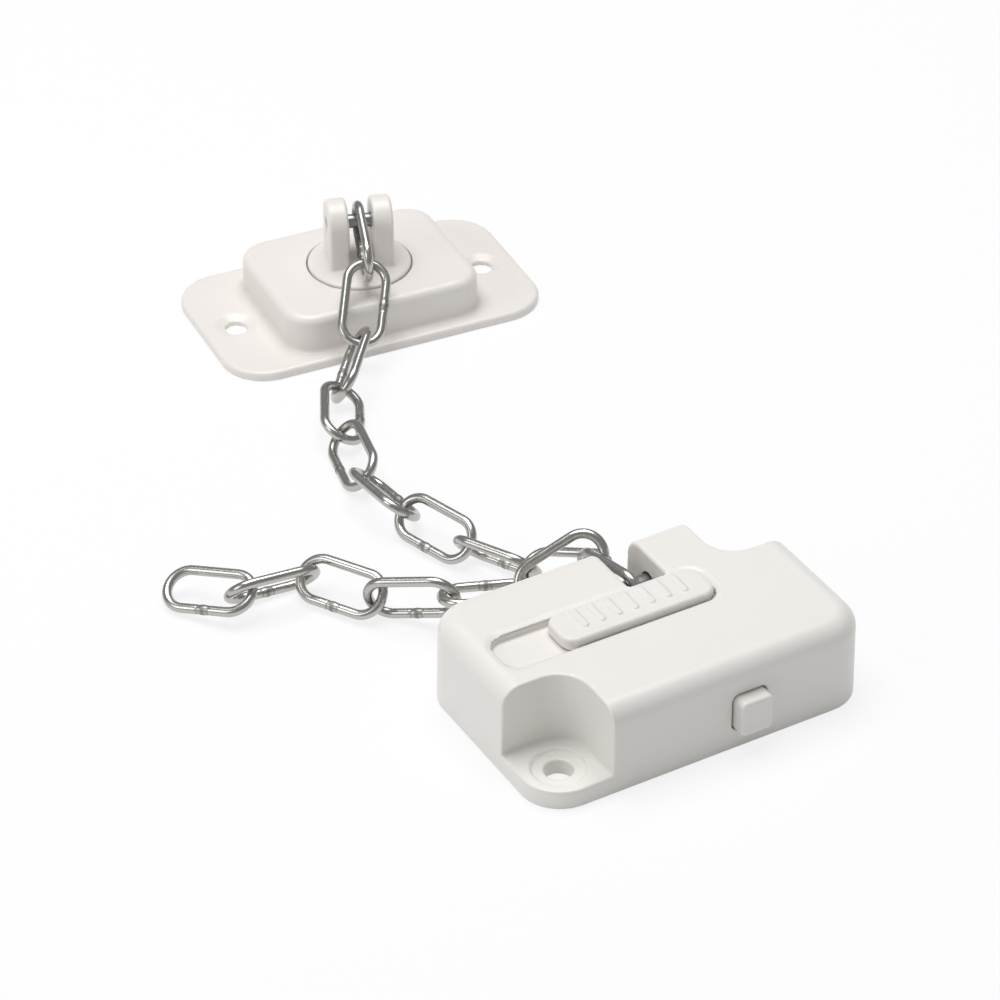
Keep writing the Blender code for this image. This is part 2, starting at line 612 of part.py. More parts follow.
def build_spring(look):
    """The coil spring on the button's stem, its axis along Y."""
    start = FLANGE_BACK + SEAT_GAP + SPRING_WIRE
    run = SPRING_LENGTH - 2 * SPRING_WIRE
    steps = SPRING_TURNS * SPRING_STEPS
    path = []
    for step in range(steps + 1):
        angle = 2 * math.pi * step / SPRING_STEPS
        path.append(Vector((BUTTON_X + SPRING_RADIUS * math.cos(angle), start + run * step / steps,
                            BUTTON_Z + SPRING_RADIUS * math.sin(angle))))
    wire = tube("button_spring", path, SPRING_WIRE, SPRING_SIDES, False, Vector((1, 0, 0)))
    print("spring: least gap between turns (mm)", round((run / SPRING_TURNS - 2 * SPRING_WIRE) * 1000, 2))
    return add_object("button_spring", wire, look)


# Chain

def direction(heading, rise):
    """The unit vector with this compass heading (anticlockwise from +X) and this rise."""
    flat = math.sqrt(max(0, 1 - rise * rise))
    turn = math.radians(heading)
    return Vector((flat * math.cos(turn), flat * math.sin(turn), rise))


def link_axes(along, roll):
    """Across and normal of a link that points along, rolled about itself from lying flat."""
    level = Vector((0, 0, 1)).cross(along).normalized()
    upright = along.cross(level)
    turn = math.radians(roll)
    across = level * math.cos(turn) + upright * math.sin(turn)
    return across, along.cross(across)


def link_mesh(name, shift):
    """One welded link in its own plane: two straights and two half circles, moved by shift."""
    path = []
    for start, centre in ((-90, LINK_STRAIGHT), (90, -LINK_STRAIGHT)):
        for step in range(LINK_ARC_STEPS + 1):
            angle = math.radians(start + 180 * step / LINK_ARC_STEPS)
            point = Vector((centre + LINK_BEND * math.cos(angle), LINK_BEND * math.sin(angle), 0))
            path.append(point + shift)
        middle = Vector((0, LINK_BEND if centre > 0 else -LINK_BEND, 0))
        path.append(middle + shift)
    return tube(name, path, WIRE_RADIUS, LINK_SIDES, True, Vector((0, 0, 1)))


def add_link(number, centre, along, roll, pivot, look):
    """Add one link, its origin on its joint's axis; returns what its neighbour needs."""
    across, normal = link_axes(along, roll)
    turn = Matrix((along, across, normal)).transposed()
    name = f"chain_link_{number:02d}"
    mesh = link_mesh(name, turn.transposed() @ (centre - pivot))
    add_object(name, mesh, look, Matrix.Translation(pivot) @ turn.to_4x4())
    return {"number": number, "centre": centre, "along": along, "across": across,
            "normal": normal, "pivot": pivot}


def add_run(numbers, hook, pivot, headings, heights, rolls, gap, look):
    """A run of links from the hook, each one hanging in the one before it."""
    links = []
    joint = hook
    for index, number in enumerate(numbers):
        reach = 2 * LINK_HALF - (WIRE + gap) * (0.5 if index == 0 else 1)
        along = direction(headings[index], (heights[index] - joint.z) / reach)
        centre = joint + along * (LINK_HALF if index == 0 else LINK_HALF - (WIRE + gap) / 2)
        if number == LINK_COUNT:
            centre -= along * LAST_SLACK
        links.append(add_link(number, centre, along, rolls[index], pivot, look))
        joint = joint + along * reach
        pivot = joint + along * (WIRE + gap) / 2
    return links, joint


def held_hook(held, shares):
    """Where a neighbour's end wire lies in the held link's eye."""
    return (held["centre"] + held["along"] * LINK_WIDTH * shares[0]
            + held["across"] * LINK_WIDTH * shares[1] + held["normal"] * LINK_WIDTH * shares[2])


def held_pivot(held, share):
    """The point of the held link's end wire that a neighbour turns on, aside by share of the bend."""
    side = LINK_BEND * share
    return (held["centre"] + held["across"] * side
            + held["along"] * (LINK_STRAIGHT + math.sqrt(LINK_BEND ** 2 - side ** 2)))


def build_chain(look):
    """All sixteen links; returns them by number, with the hook next to the anchor."""
    bolt = Vector((SLOT_MIDDLE, BOLT_Y, BOLT_Z))
    along = direction(HELD_HEADING, math.sin(math.radians(HELD_RISE)))
    centre = bolt + along * HELD_SHIFT - Vector((0, 0, HELD_DROP))
    held = add_link(10, centre, along, HELD_ROLL, bolt, look)
    heights = [BOLT_Z * MAIN_DROP_SHARE] + [LINK_WIDTH * share for share in MAIN_HEIGHT_SHARES]
    first_reach = 2 * LINK_HALF - (WIRE + TAUT_GAP) / 2 - (PIN_RADIUS + WIRE_RADIUS + PIN_GAP)
    climb = math.sin(math.radians(FIRST_LINK_RISE))
    heights.append(PIN_HEIGHT - first_reach * climb)
    main, joint = add_run(range(9, 1, -1), held_hook(held, MAIN_HOOK_SHARES),
                          held_pivot(held, MAIN_PIVOT_SHARE), MAIN_HEADINGS, heights,
                          MAIN_ROLLS, TAUT_GAP, look)
    heights = [BOLT_Z * TAIL_DROP_SHARE] + [LINK_WIDTH * share for share in TAIL_HEIGHT_SHARES]
    tail, _ = add_run(range(11, LINK_COUNT + 1), held_hook(held, TAIL_HOOK_SHARES),
                      held_pivot(held, TAIL_PIVOT_SHARE), TAIL_HEADINGS, heights,
                      TAIL_ROLLS, SLACK_GAP, look)
    along = direction(FIRST_LINK_HEADING, climb)
    centre = joint + along * (LINK_HALF - (WIRE + TAUT_GAP) / 2)
    pivot = joint + main[-1]["along"] * (WIRE + TAUT_GAP) / 2
    first = add_link(1, centre, along, 90, pivot, look)
    links = {link["number"]: link for link in [first, held, *main, *tail]}
    return links, joint + along * first_reach


# Anchor

def build_anchor_base(look, place):
    """Flange with two screw holes, raised pad, and the round recess that the turret turns in."""
    half_length, half_width = ANCHOR_LENGTH / 2, ANCHOR_WIDTH / 2
    plan = (-half_length, half_length, -half_width, half_width, 0, ANCHOR_THICK)
    base = add_object("anchor_base", block("anchor_base", plan, ANCHOR_CORNER, ANCHOR_EDGE), look, place)
    half_length, half_width = PAD_LENGTH / 2 + PAD_FLARE, PAD_WIDTH / 2 + PAD_FLARE
    pad = (-half_length, half_length, -half_width, half_width, ANCHOR_THICK / 2, PAD_TOP)
    fuse(base, block("pad", pad, PAD_CORNER + PAD_FLARE, PAD_EDGE, PAD_FLARE), place)
    half_length, half_width = PAD_LENGTH / 2 - PAD_WALL, PAD_WIDTH / 2 - PAD_WALL
    under = (-half_length, half_length, -half_width, half_width, -OVERRUN, PAD_UNDER)
    cut(base, block("pad_hollow", under, PAD_CORNER - PAD_WALL), place)
    ring = TURRET_RADIUS + SEAT_GAP
    cut(base, post("turret_recess", 0, 0, ring, TURRET_FLOOR, PAD_TOP + OVERRUN, ROUND_STEPS), place)
    cut(base, post("turret_bore", 0, 0, TURRET_STEM_RADIUS + SEAT_GAP, 0, PAD_TOP, ROUND_STEPS), place)
    for side in (-1, 1):
        x = side * ANCHOR_HOLE_X
        cut(base, post("anchor_hole", x, 0, ANCHOR_HOLE_RADIUS, -OVERRUN, OVERRUN, ROUND_STEPS), place)
        slope = (ANCHOR_SINK_RADIUS - ANCHOR_HOLE_RADIUS) / ANCHOR_SINK_DEPTH
        over = ANCHOR_THICK / 4
        sink = post("anchor_sink", x, 0, ANCHOR_HOLE_RADIUS, ANCHOR_THICK - ANCHOR_SINK_DEPTH,
                    ANCHOR_THICK + over, ROUND_STEPS, ANCHOR_SINK_RADIUS + slope * over)
        cut(base, sink, place)
    return base


def ear_mesh(name, inner):
    """One ear as an upright plate with a round top; inner is where its inside face stands.

    The outline is drawn in the plane of the ear and lofted outwards, the outer edges rounded.
    """
    half = EAR_DEPTH / 2
    foot = PAD_TOP
    levels = []
    for depth, inset in ((0, EAR_EDGE / 2), (EAR_EDGE / 2, 0), (EAR_THICK - EAR_EDGE, 0),
                         (EAR_THICK - EAR_EDGE / 3, EAR_EDGE / 3), (EAR_THICK, EAR_EDGE)):
        outline = [(foot, -half + inset), (foot, half - inset)]
        for step in range(2 * CORNER_STEPS + 1):
            angle = math.radians(90 - 180 * step / (2 * CORNER_STEPS))
            outline.append((PIN_HEIGHT + (half - inset) * math.cos(angle), (half - inset) * math.sin(angle)))
        levels.append((inner + depth, outline))
    return loft(name, levels)


def build_swivel(look, place):
    """The turret: a domed disc on a stem, two ears, a bore for the pin and one for the screw."""
    low = TURRET_FLOOR + SEAT_GAP
    rim = PAD_TOP + TURRET_RIM
    rings = [(PAD_UNDER - SEAT_GAP, TURRET_STEM_RADIUS), (low, TURRET_STEM_RADIUS), (low, TURRET_RADIUS),
             (rim, TURRET_RADIUS)]
    for step in range(1, EDGE_STEPS + 1):
        share = 1 - step / (EDGE_STEPS + 1)
        rings.append((rim + TURRET_DOME * (1 - share ** 2), TURRET_RADIUS * share))
    levels = [(height, circle(0, 0, radius, ROUND_STEPS)) for height, radius in rings]
    swivel = add_object("anchor_swivel", loft("anchor_swivel", levels), look, place)
    # ear outlines are drawn as (height, forward), so +Z of the drawing becomes the ears' axis
    upright = Matrix(((0, 0, 1, 0), (0, 1, 0, 0), (-1, 0, 0, 0), (0, 0, 0, 1)))
    stand = Matrix.Scale(-1, 4, (0, 0, 1)) @ upright
    for number, turn in enumerate((Matrix(), HALF_TURN)):
        mesh = ear_mesh(f"ear_{number}", EAR_GAP / 2)
        mesh.transform(stand)
        mesh.flip_normals()
        fuse(swivel, mesh, place @ turn)
    pin_bore = post("pin_bore", -PIN_HEIGHT, 0, PIN_RADIUS + SEAT_GAP, -CLEVIS_WIDTH, CLEVIS_WIDTH)
    cut(swivel, pin_bore, place @ ALONG_X)
    depth = PAD_UNDER + SWIVEL_SCREW_DEPTH + SEAT_GAP
    cut(swivel, post("swivel_bore", 0, 0, SWIVEL_SCREW_RADIUS + SEAT_GAP, 0, depth), place)
    return swivel


def build_pin(look, place):
    """The pin through the ears; the first link hangs on it."""
    half = CLEVIS_WIDTH / 2 - PIN_INSET
    mesh = post("clevis_pin", 0, 0, PIN_RADIUS, -half, half)
    return add_object("clevis_pin", mesh, look, place @ Matrix.Translation((0, 0, PIN_HEIGHT)) @ ALONG_X)


def build_swivel_fixing(look, place):
    """The washer under the pad's roof and the screw that holds it to the turret's stem."""
    top = PAD_UNDER - SEAT_GAP
    stem_end = top - SEAT_GAP
    washer = post("swivel_washer", 0, 0, WASHER_RADIUS, stem_end - WASHER_THICK, stem_end, ROUND_STEPS)
    ring = add_object("swivel_washer", washer, look, place)
    bore = SWIVEL_SCREW_RADIUS + SEAT_GAP
    cut(ring, post("washer_bore", 0, 0, bore, 0, PAD_TOP), place)
    head_top = stem_end - WASHER_THICK - SEAT_GAP
    levels = ((head_top - SWIVEL_HEAD_THICK, SWIVEL_HEAD_RADIUS), (head_top, SWIVEL_HEAD_RADIUS),
              (head_top, SWIVEL_SCREW_RADIUS), (PAD_UNDER + SWIVEL_SCREW_DEPTH, SWIVEL_SCREW_RADIUS))
    rings = [(height, circle(0, 0, radius, SMALL_STEPS)) for height, radius in levels]
    add_object("swivel_screw", loft("swivel_screw", rings), look, place)


def main():
    """Clear the scene and build every piece."""
    for thing in list(bpy.data.objects):
        bpy.data.objects.remove(thing, do_unlink=True)
    white = material("white_plastic", (0.87, 0.84, 0.80), 0.35, 0.0)
    steel = material("polished_steel", (0.62, 0.63, 0.65), 0.22, 1.0)
    build_housing(white)
    build_base_plate(white)
    build_base_screws(steel)
    build_slider(white)
    build_carrier(white)
    build_bolt(steel)
    build_button(white)
    build_spring(steel)
    links, pin = build_chain(steel)
    spot = Matrix.Translation((pin.x, pin.y, 0))
    turret = spot @ Matrix.Rotation(math.radians(FIRST_LINK_HEADING - 90), 4, "Z")
    build_anchor_base(white, spot @ Matrix.Rotation(math.radians(ANCHOR_TURN), 4, "Z"))
    build_swivel(white, turret)
    build_pin(steel, turret)
    build_swivel_fixing(steel, turret)
    return links, pin


if __name__ == "__main__":
    main()
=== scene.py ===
# %% [markdown]
# # Window safety chain
# A white plastic lock block and a white anchor plate, joined by a welded steel chain. The packed
# CAD model is the fixed frame: it says where each piece is and how it moves. This lesson dresses
# it: each moulded piece gets soft edges, each link gets its round wire and its weld, and each
# material is built from what the real one is.

# %% Load the frame
import json
import math

import bpy
import numpy as np
from mathutils import Matrix, Vector


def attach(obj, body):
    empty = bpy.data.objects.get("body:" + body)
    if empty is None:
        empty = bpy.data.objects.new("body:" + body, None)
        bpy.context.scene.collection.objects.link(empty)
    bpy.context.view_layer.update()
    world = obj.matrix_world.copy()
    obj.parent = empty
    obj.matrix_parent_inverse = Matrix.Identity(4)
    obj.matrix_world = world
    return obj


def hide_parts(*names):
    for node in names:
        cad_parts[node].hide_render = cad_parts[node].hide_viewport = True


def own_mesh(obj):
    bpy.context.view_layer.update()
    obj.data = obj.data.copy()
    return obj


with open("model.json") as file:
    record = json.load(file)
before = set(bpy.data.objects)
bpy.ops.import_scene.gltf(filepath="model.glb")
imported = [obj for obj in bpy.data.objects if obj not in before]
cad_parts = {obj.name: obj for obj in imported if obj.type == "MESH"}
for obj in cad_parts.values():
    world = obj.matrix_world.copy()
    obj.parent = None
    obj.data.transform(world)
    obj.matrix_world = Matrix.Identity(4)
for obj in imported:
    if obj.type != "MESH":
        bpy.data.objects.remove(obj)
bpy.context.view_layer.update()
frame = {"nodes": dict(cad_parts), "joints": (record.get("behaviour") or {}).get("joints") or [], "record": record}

MM = 0.001
JOINTS = {joint["name"]: joint for joint in frame["joints"]}
MOUNTS = {mount["name"]: mount for mount in frame["record"]["mounts"]}

# %% [markdown]
# ## The camera
# The photograph looks down on the object from its left front corner with a long lens. The numbers
# come from fitting known edges of the lock block and the anchor to the picture.

# %% Camera
CAMERA_PLACE = Vector((-0.31867, -0.49100, 0.46554))
CAMERA_HEADING = 30.28
CAMERA_PITCH = 35.75
CAMERA_ROLL = 0.09
SENSOR_WIDTH = 36.0
FOCAL_SHARE = 3.931
lens = bpy.data.cameras.new("camera")
lens.sensor_width = SENSOR_WIDTH
lens.lens = SENSOR_WIDTH * FOCAL_SHARE
camera = bpy.data.objects.new("camera", lens)
bpy.context.scene.collection.objects.link(camera)
camera.location = CAMERA_PLACE
turn = Matrix.Rotation(math.radians(-CAMERA_HEADING), 4, "Z")
tilt = Matrix.Rotation(math.radians(90 - CAMERA_PITCH), 4, "X")
roll = Matrix.Rotation(math.radians(CAMERA_ROLL), 4, "Z")
camera.rotation_euler = (turn @ tilt @ roll).to_euler()
bpy.context.scene.camera = camera
print("camera: focal length", round(lens.lens, 1), "mm")

# %% [markdown]
# ## Colours and nodes
# Colours are written as the sRGB hex values that a designer would give, and one function turns
# them to the linear numbers that Blender's sockets take. Another adds a node with its settings.

# %% Colour and node helpers
def linear(code):
    """Linear red, green, blue and alpha of an sRGB hex colour such as "EDEBE7"."""
    shares = [int(code[start:start + 2], 16) / 255 for start in (0, 2, 4)]
    return tuple(s / 12.92 if s <= 0.04045 else ((s + 0.055) / 1.055) ** 2.4 for s in shares) + (1.0,)


def add_node(tree, kind, inputs=(), **settings):
    """Add a node. inputs are (socket, value) pairs, where a value may be another node's socket."""
    made = tree.nodes.new(kind)
    for name, value in settings.items():
        setattr(made, name, value)
    for name, value in inputs:
        if isinstance(value, bpy.types.NodeSocket):
            tree.links.new(value, made.inputs[name])
        else:
            made.inputs[name].default_value = value
    return made


def new_material(name):
    """An empty node material: returns it, its tree, its shader and its Object coordinates."""
    made = bpy.data.materials.new(name)
    made.use_nodes = True
    tree = made.node_tree
    shader = tree.nodes["Principled BSDF"]
    place = add_node(tree, "ShaderNodeTexCoord").outputs["Object"]
    return made, tree, shader, place

# %% [markdown]
# ## Moulded ABS
# The block, the slide, the button and the anchor are injection moulded in off-white ABS. The
# tool's surface is fine spark erosion, so the gloss is soft and slightly uneven, and the tint
# varies a little in soft clouds. The grain is about 0.12 mm, less than a pixel here, so it is
# drawn at 0.35 mm.

# %% Moulded ABS material
ABS_GRAIN = 0.35 * MM
ABS_CLOUD = 14.0 * MM
ABS_SHEEN = 2.2 * MM


def moulded_abs(name, light, shade, roughness):
    """Off-white ABS: two close tints in soft clouds, uneven gloss, fine spark-eroded grain."""
    made, tree, shader, place = new_material(name)
    cloud = add_node(tree, "ShaderNodeTexNoise", [("Vector", place), ("Scale", 1 / ABS_CLOUD),
                                                  ("Detail", 2.0), ("Roughness", 0.5)])
    tint = add_node(tree, "ShaderNodeMix", [("Factor", cloud.outputs["Fac"])], data_type="RGBA")
    tint.inputs[6].default_value = linear(light)
    tint.inputs[7].default_value = linear(shade)
    tree.links.new(tint.outputs[2], shader.inputs["Base Color"])
    sheen = add_node(tree, "ShaderNodeTexNoise", [("Vector", place), ("Scale", 1 / ABS_SHEEN),
                                                  ("Detail", 3.0)])
    gloss = add_node(tree, "ShaderNodeMapRange", [("Value", sheen.outputs["Fac"]), ("From Min", 0.3),
                                                  ("From Max", 0.7), ("To Min", roughness - 0.04),
                                                  ("To Max", roughness + 0.05)])
    tree.links.new(gloss.outputs["Result"], shader.inputs["Roughness"])
    grain = add_node(tree, "ShaderNodeTexNoise", [("Vector", place), ("Scale", 1 / ABS_GRAIN),
                                                  ("Detail", 2.0)])
    bump = add_node(tree, "ShaderNodeBump", [("Height", grain.outputs["Fac"]), ("Strength", 0.12),
                                             ("Distance", 0.02 * MM)])
    tree.links.new(bump.outputs["Normal"], shader.inputs["Normal"])
    shader.inputs["IOR"].default_value = 1.54
    return made


abs_lock = moulded_abs("abs_lock_block", "EDEAE5", "EBE7E2", 0.34)
abs_anchor = moulded_abs("abs_anchor", "ECE7E2", "EAE4DF", 0.32)
abs_moving = moulded_abs("abs_slide_and_button", "ECE8E4", "E9E5E1", 0.38)
print("materials:", abs_lock.name, abs_anchor.name, abs_moving.name)

# %% [markdown]
# ## Steel
# The links are drawn stainless wire, bent, butt welded and tumbled bright. Drawing leaves fine
# lines along the wire, tumbling leaves small scuffs across them, and the weld is duller and
# darker. The lines follow the wire, so they read the link's own UV map, whose first number is
# millimetres along the wire and whose second is the share of the way round it.

# %% Steel materials
LINE_SCALE_ALONG = 0.10
LINE_SCALE_ROUND = 46.0
SCUFF_SIZE = 1.6 * MM
MOTTLE_SIZE = 0.8 * MM
WELD_DULLNESS = 0.25


def drawn_wire(name, tint, weld_tint, roughness):
    """Bright drawn wire: lines along it, scuffs, and a duller weld where the weld attribute is 1."""
    made, tree, shader, place = new_material(name)
    shader.inputs["Metallic"].default_value = 1.0
    flow = add_node(tree, "ShaderNodeUVMap", uv_map="wire")
    stretch = add_node(tree, "ShaderNodeMapping", [("Vector", flow.outputs["UV"]),
                                                   ("Scale", (LINE_SCALE_ALONG, LINE_SCALE_ROUND, 1.0))])
    lines = add_node(tree, "ShaderNodeTexNoise", [("Vector", stretch.outputs["Vector"]), ("Scale", 1.0),
                                                  ("Detail", 4.0)])
    scuffs = add_node(tree, "ShaderNodeTexNoise", [("Vector", place), ("Scale", 1 / SCUFF_SIZE),
                                                   ("Detail", 5.0), ("Roughness", 0.65)])
    weld = add_node(tree, "ShaderNodeAttribute", attribute_name="weld")
    wear = add_node(tree, "ShaderNodeMapRange", [("Value", scuffs.outputs["Fac"]), ("From Min", 0.35),
                                                 ("From Max", 0.75), ("To Min", roughness),
                                                 ("To Max", roughness + 0.08)])
    dull = add_node(tree, "ShaderNodeMath", [(0, weld.outputs["Fac"]), (1, WELD_DULLNESS),
                                             (2, wear.outputs["Result"])], operation="MULTIPLY_ADD")
    tree.links.new(dull.outputs["Value"], shader.inputs["Roughness"])
    colour = add_node(tree, "ShaderNodeMix", [("Factor", weld.outputs["Fac"])], data_type="RGBA")
    colour.inputs[6].default_value = linear(tint)
    colour.inputs[7].default_value = linear(weld_tint)
    tree.links.new(colour.outputs[2], shader.inputs["Base Color"])
    bump = add_node(tree, "ShaderNodeBump", [("Height", lines.outputs["Fac"]), ("Strength", 0.08),
                                             ("Distance", 0.012 * MM)])
    tree.links.new(bump.outputs["Normal"], shader.inputs["Normal"])
    return made


def plated_steel(name, tint, roughness):
    """Zinc-plated steel of pins and screws, with fine mottling."""
    made, tree, shader, place = new_material(name)
    shader.inputs["Metallic"].default_value = 1.0
    shader.inputs["Base Color"].default_value = linear(tint)
    mottle = add_node(tree, "ShaderNodeTexNoise", [("Vector", place), ("Scale", 1 / MOTTLE_SIZE),
                                                   ("Detail", 4.0)])
    gloss = add_node(tree, "ShaderNodeMapRange", [("Value", mottle.outputs["Fac"]), ("From Min", 0.3),
                                                  ("From Max", 0.7), ("To Min", roughness - 0.06),
                                                  ("To Max", roughness + 0.08)])
    tree.links.new(gloss.outputs["Result"], shader.inputs["Roughness"])
    bump = add_node(tree, "ShaderNodeBump", [("Height", mottle.outputs["Fac"]), ("Strength", 0.1),
                                             ("Distance", 0.01 * MM)])
    tree.links.new(bump.outputs["Normal"], shader.inputs["Normal"])
    return made


link_steel = drawn_wire("drawn_stainless_wire", "BDBBB7", "8A8885", 0.21)
pin_steel = plated_steel("zinc_plated_steel", "A4A6A8", 0.30)
print("materials:", link_steel.name, pin_steel.name)

# %% [markdown]
# ## How a moulded piece is drawn
# A moulding has no sharp edge anywhere: each corner of its tool is a small radius. Bevelling a
# mesh after cutting it often tears where three cuts meet. Here the piece is a distance field
# instead: a function that is negative inside, positive outside and zero on the skin. Two fields
# are joined or cut with a round edge of a chosen radius, and the skin is then read off on a grid.

# %% Distance fields, in millimetres
def plan(x, y, left, right, front, rear, corner):
    """Distance to a rectangle with round corners: outside the length of the overshoot past the
    corner's centre minus the radius, inside the nearer side."""
    dx = np.abs(x - (left + right) / 2) - ((right - left) / 2 - corner)
    dy = np.abs(y - (front + rear) / 2) - ((rear - front) / 2 - corner)
    return np.hypot(np.maximum(dx, 0), np.maximum(dy, 0)) + np.minimum(np.maximum(dx, dy), 0) - corner


def both(a, b, edge=0.0):
    """What is inside a and b: the larger distance, and a quarter round of radius edge between."""
    return np.minimum(np.maximum(a, b), -edge) + np.hypot(np.maximum(a + edge, 0), np.maximum(b + edge, 0))


def either(a, b, fillet=0.0):
    """What is inside a or b, with a hollow quarter round of radius fillet where they meet."""
    return -both(-a, -b, fillet)


def without(a, b, edge=0.0):
    """a with b cut away, the cut's rim rounded by edge."""
    return both(a, -b, edge)


def rod(u, v, radius):
    """Distance to a round bar, from the two coordinates across it, measured from its axis."""
    return np.hypot(u, v) - radius

# %% [markdown]
# The grid is fine near the places where the shape changes and coarse on the flats between, so a
# flat costs few faces. One point goes into each cell that the skin passes through, four cells
# round a crossed grid edge make a quad, and a few Newton steps pull each point exactly onto the
# skin. The field's slope there is the exact normal, so the round edges shade smoothly.

# %% From a field to a mesh
GRID_MARGIN = 1.0
GRID_SHIFT = 0.0137
GRID_GROWTH = 0.3
NEWTON_STEPS = 4
SLOPE_STEP = 0.004
LEAST_SLOPE_SQUARED = 0.05
LONGEST_MOVE = 0.3


def ticks(low, high, marks, fine, coarse):
    """Grid planes from a margin before low to a margin past high: the step is GRID_GROWTH of the
    distance to the nearest mark, within fine and coarse. The shift keeps planes off flat faces."""
    places = [low - GRID_MARGIN + GRID_SHIFT]
    while places[-1] < high + GRID_MARGIN:
        nearest = min(abs(places[-1] - mark) for mark in marks)
        places.append(places[-1] + min(coarse, max(fine, GRID_GROWTH * nearest)))
    return np.array(places)


def slope(field, points):
    """The field's gradient at the points, by central differences."""
    found = np.empty_like(points)
    for axis in range(3):
        step = np.zeros(3)
        step[axis] = SLOPE_STEP
        ahead, behind = (points + step).T, (points - step).T
        found[:, axis] = (field(*ahead) - field(*behind)) / (2 * SLOPE_STEP)
    return found


def skin(field, xs, ys, zs):
    """Points, quads and normals of the surface where the field is zero."""
    grid = np.meshgrid(xs, ys, zs, indexing="ij")
    value = field(*grid)
    inside = value < 0
    cells = tuple(size - 1 for size in value.shape)
    total = np.zeros(cells + (3,))
    count = np.zeros(cells)
    crossings = []
    for axis in range(3):
        near = [slice(None)] * 3
        far = [slice(None)] * 3
        near[axis], far[axis] = slice(None, -1), slice(1, None)
        near, far = tuple(near), tuple(far)
        crossed = inside[near] != inside[far]
        crossings.append((crossed, inside[near]))
        gap = value[near] - value[far]
        share = np.where(crossed, value[near] / np.where(crossed, gap, 1), 0)
        spot = np.stack([g[near] for g in grid], -1)
        spot[..., axis] += share * (grid[axis][far] - grid[axis][near])
        spot *= crossed[..., None]
        others = [other for other in range(3) if other != axis]
        for first in (0, 1):
            for second in (0, 1):
                part = [slice(None)] * 3
                part[others[0]] = slice(first, first + cells[others[0]])
                part[others[1]] = slice(second, second + cells[others[1]])
                total += spot[tuple(part)]
                count += crossed[tuple(part)]
    used = count > 0
    number = np.cumsum(used).reshape(cells) - 1
    points = total[used] / count[used][:, None]
    quads = []
    for axis, (crossed, starts_inside) in enumerate(crossings):
        u, v = (axis + 1) % 3, (axis + 2) % 3
        place = np.argwhere(crossed)
        enclosed = (place[:, [u, v]] > 0).all(1) & (place[:, u] < cells[u]) & (place[:, v] < cells[v])
        place = place[enclosed]
        corners = []
        for du, dv in ((1, 1), (0, 1), (0, 0), (1, 0)):
            cell = place.copy()
            cell[:, u] -= du
            cell[:, v] -= dv
            corners.append(number[tuple(cell.T)])
        quad = np.stack(corners, -1)
        outward = starts_inside[tuple(place.T)]
        quads.append(np.where(outward[:, None], quad, quad[:, ::-1]))
    for _ in range(NEWTON_STEPS):
        steep = slope(field, points)
        size = np.maximum((steep ** 2).sum(1), LEAST_SLOPE_SQUARED)
        move = (field(*points.T) / size)[:, None] * steep
        points -= np.clip(move, -LONGEST_MOVE, LONGEST_MOVE)
    normals = slope(field, points)
    normals /= np.maximum(np.linalg.norm(normals, axis=1), 1e-9)[:, None]
    return points, np.concatenate(quads).tolist(), normals


def finish_piece(name, points, faces, look, body, replaced, normals=None, place=None):
    """Put points, in millimetres, and faces into a mesh, move it to its place and let it ride."""
    mesh = bpy.data.meshes.new(name)
    where = np.asarray(points, float) * MM
    if place is not None:
        where = where @ np.array(place.to_3x3()).T + np.array(place.translation)
    mesh.from_pydata(where.tolist(), [], faces)
    mesh.shade_smooth()
    if normals is not None:
        if place is not None:
            normals = normals @ np.array(place.to_3x3()).T
        mesh.normals_split_custom_set_from_vertices(normals.tolist())
    mesh.materials.append(look)
    piece = bpy.data.objects.new(name, mesh)
    bpy.context.scene.collection.objects.link(piece)
    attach(piece, body)
    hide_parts(*replaced)
    print(f"{name}: {len(mesh.polygons)} faces")
    return piece


def moulded(name, field, spans, marks, steps, look, body, replaced, place=None):
    """A piece from its field: spans are (low, high) and marks the busy places, for x, y and z, and
    steps are the finest and the coarsest step of the grid."""
    planes = [ticks(low, high, marks[axis], *steps) for axis, (low, high) in enumerate(spans)]
    points, quads, normals = skin(field, *planes)
    finish_piece(name, points, quads, look, body, replaced, normals, place)

# %% [markdown]
# ## The lock block
# One moulding holds everything: its top rolls into the sides with a 4 mm radius, two opposite
# corners are cut down to a low floor for the mounting screws, a slot takes the chain from above
# and behind, and a shallow channel with a faint bevel guides the slide. It is hollow below.
# A box in plan is written as left, right, front and rear.

# %% Lock block
LENGTH, WIDTH, HEIGHT = 72.0, 45.8, 19.1
CORNER, TOP_EDGE, DRAFT, WALL = 8.3, 4.0, 0.4, 2.1
SLOT = (1.1, 9.4, 8.45, 40.0)
SLOT_CORNER, SLOT_FLOOR = 0.6, 5.0
BOLT_Y, BOLT_Z = 14.7, 12.5
RECESS = (21.1, 60.0, 7.2, 60.0)
RECESS_CORNER, RECESS_FLOOR = 6.5, 4.0
HOLE_X, HOLE_Y, HOLE_RADIUS, RING_RADIUS, RING_DEPTH = 28.3, 15.2, 2.75, 5.2, 0.6
CHANNEL = (-30.9, 15.0, -2.6, 7.4)
CHANNEL_CORNER, CHANNEL_DEPTH, BEVEL, BEVEL_DEPTH = 3.3, 1.7, 1.3, 0.45
CEILING, INNER_WALL = 15.4, 2.0
BOSSES = ((-28.4, 15.3), (-28.4, 0.0), (15.25, 17.9), (28.55, -17.9))
BOSS_RADIUS, BOSS_BOTTOM, PILOT_RADIUS, PILOT_TOP = 2.6, 2.3, 1.2, 10.0
SLIT = (-17.9, -1.1, 0.5, 4.3)
SLIT_CORNER, SLIT_BOTTOM = 0.3, CEILING - 2.0
BUTTON = (5.0, 12.0, 4.3, 12.0)
WINDOW_GAP, WINDOW_CORNER, WINDOW_PAST_WALL = 0.3, 1.5, 0.4
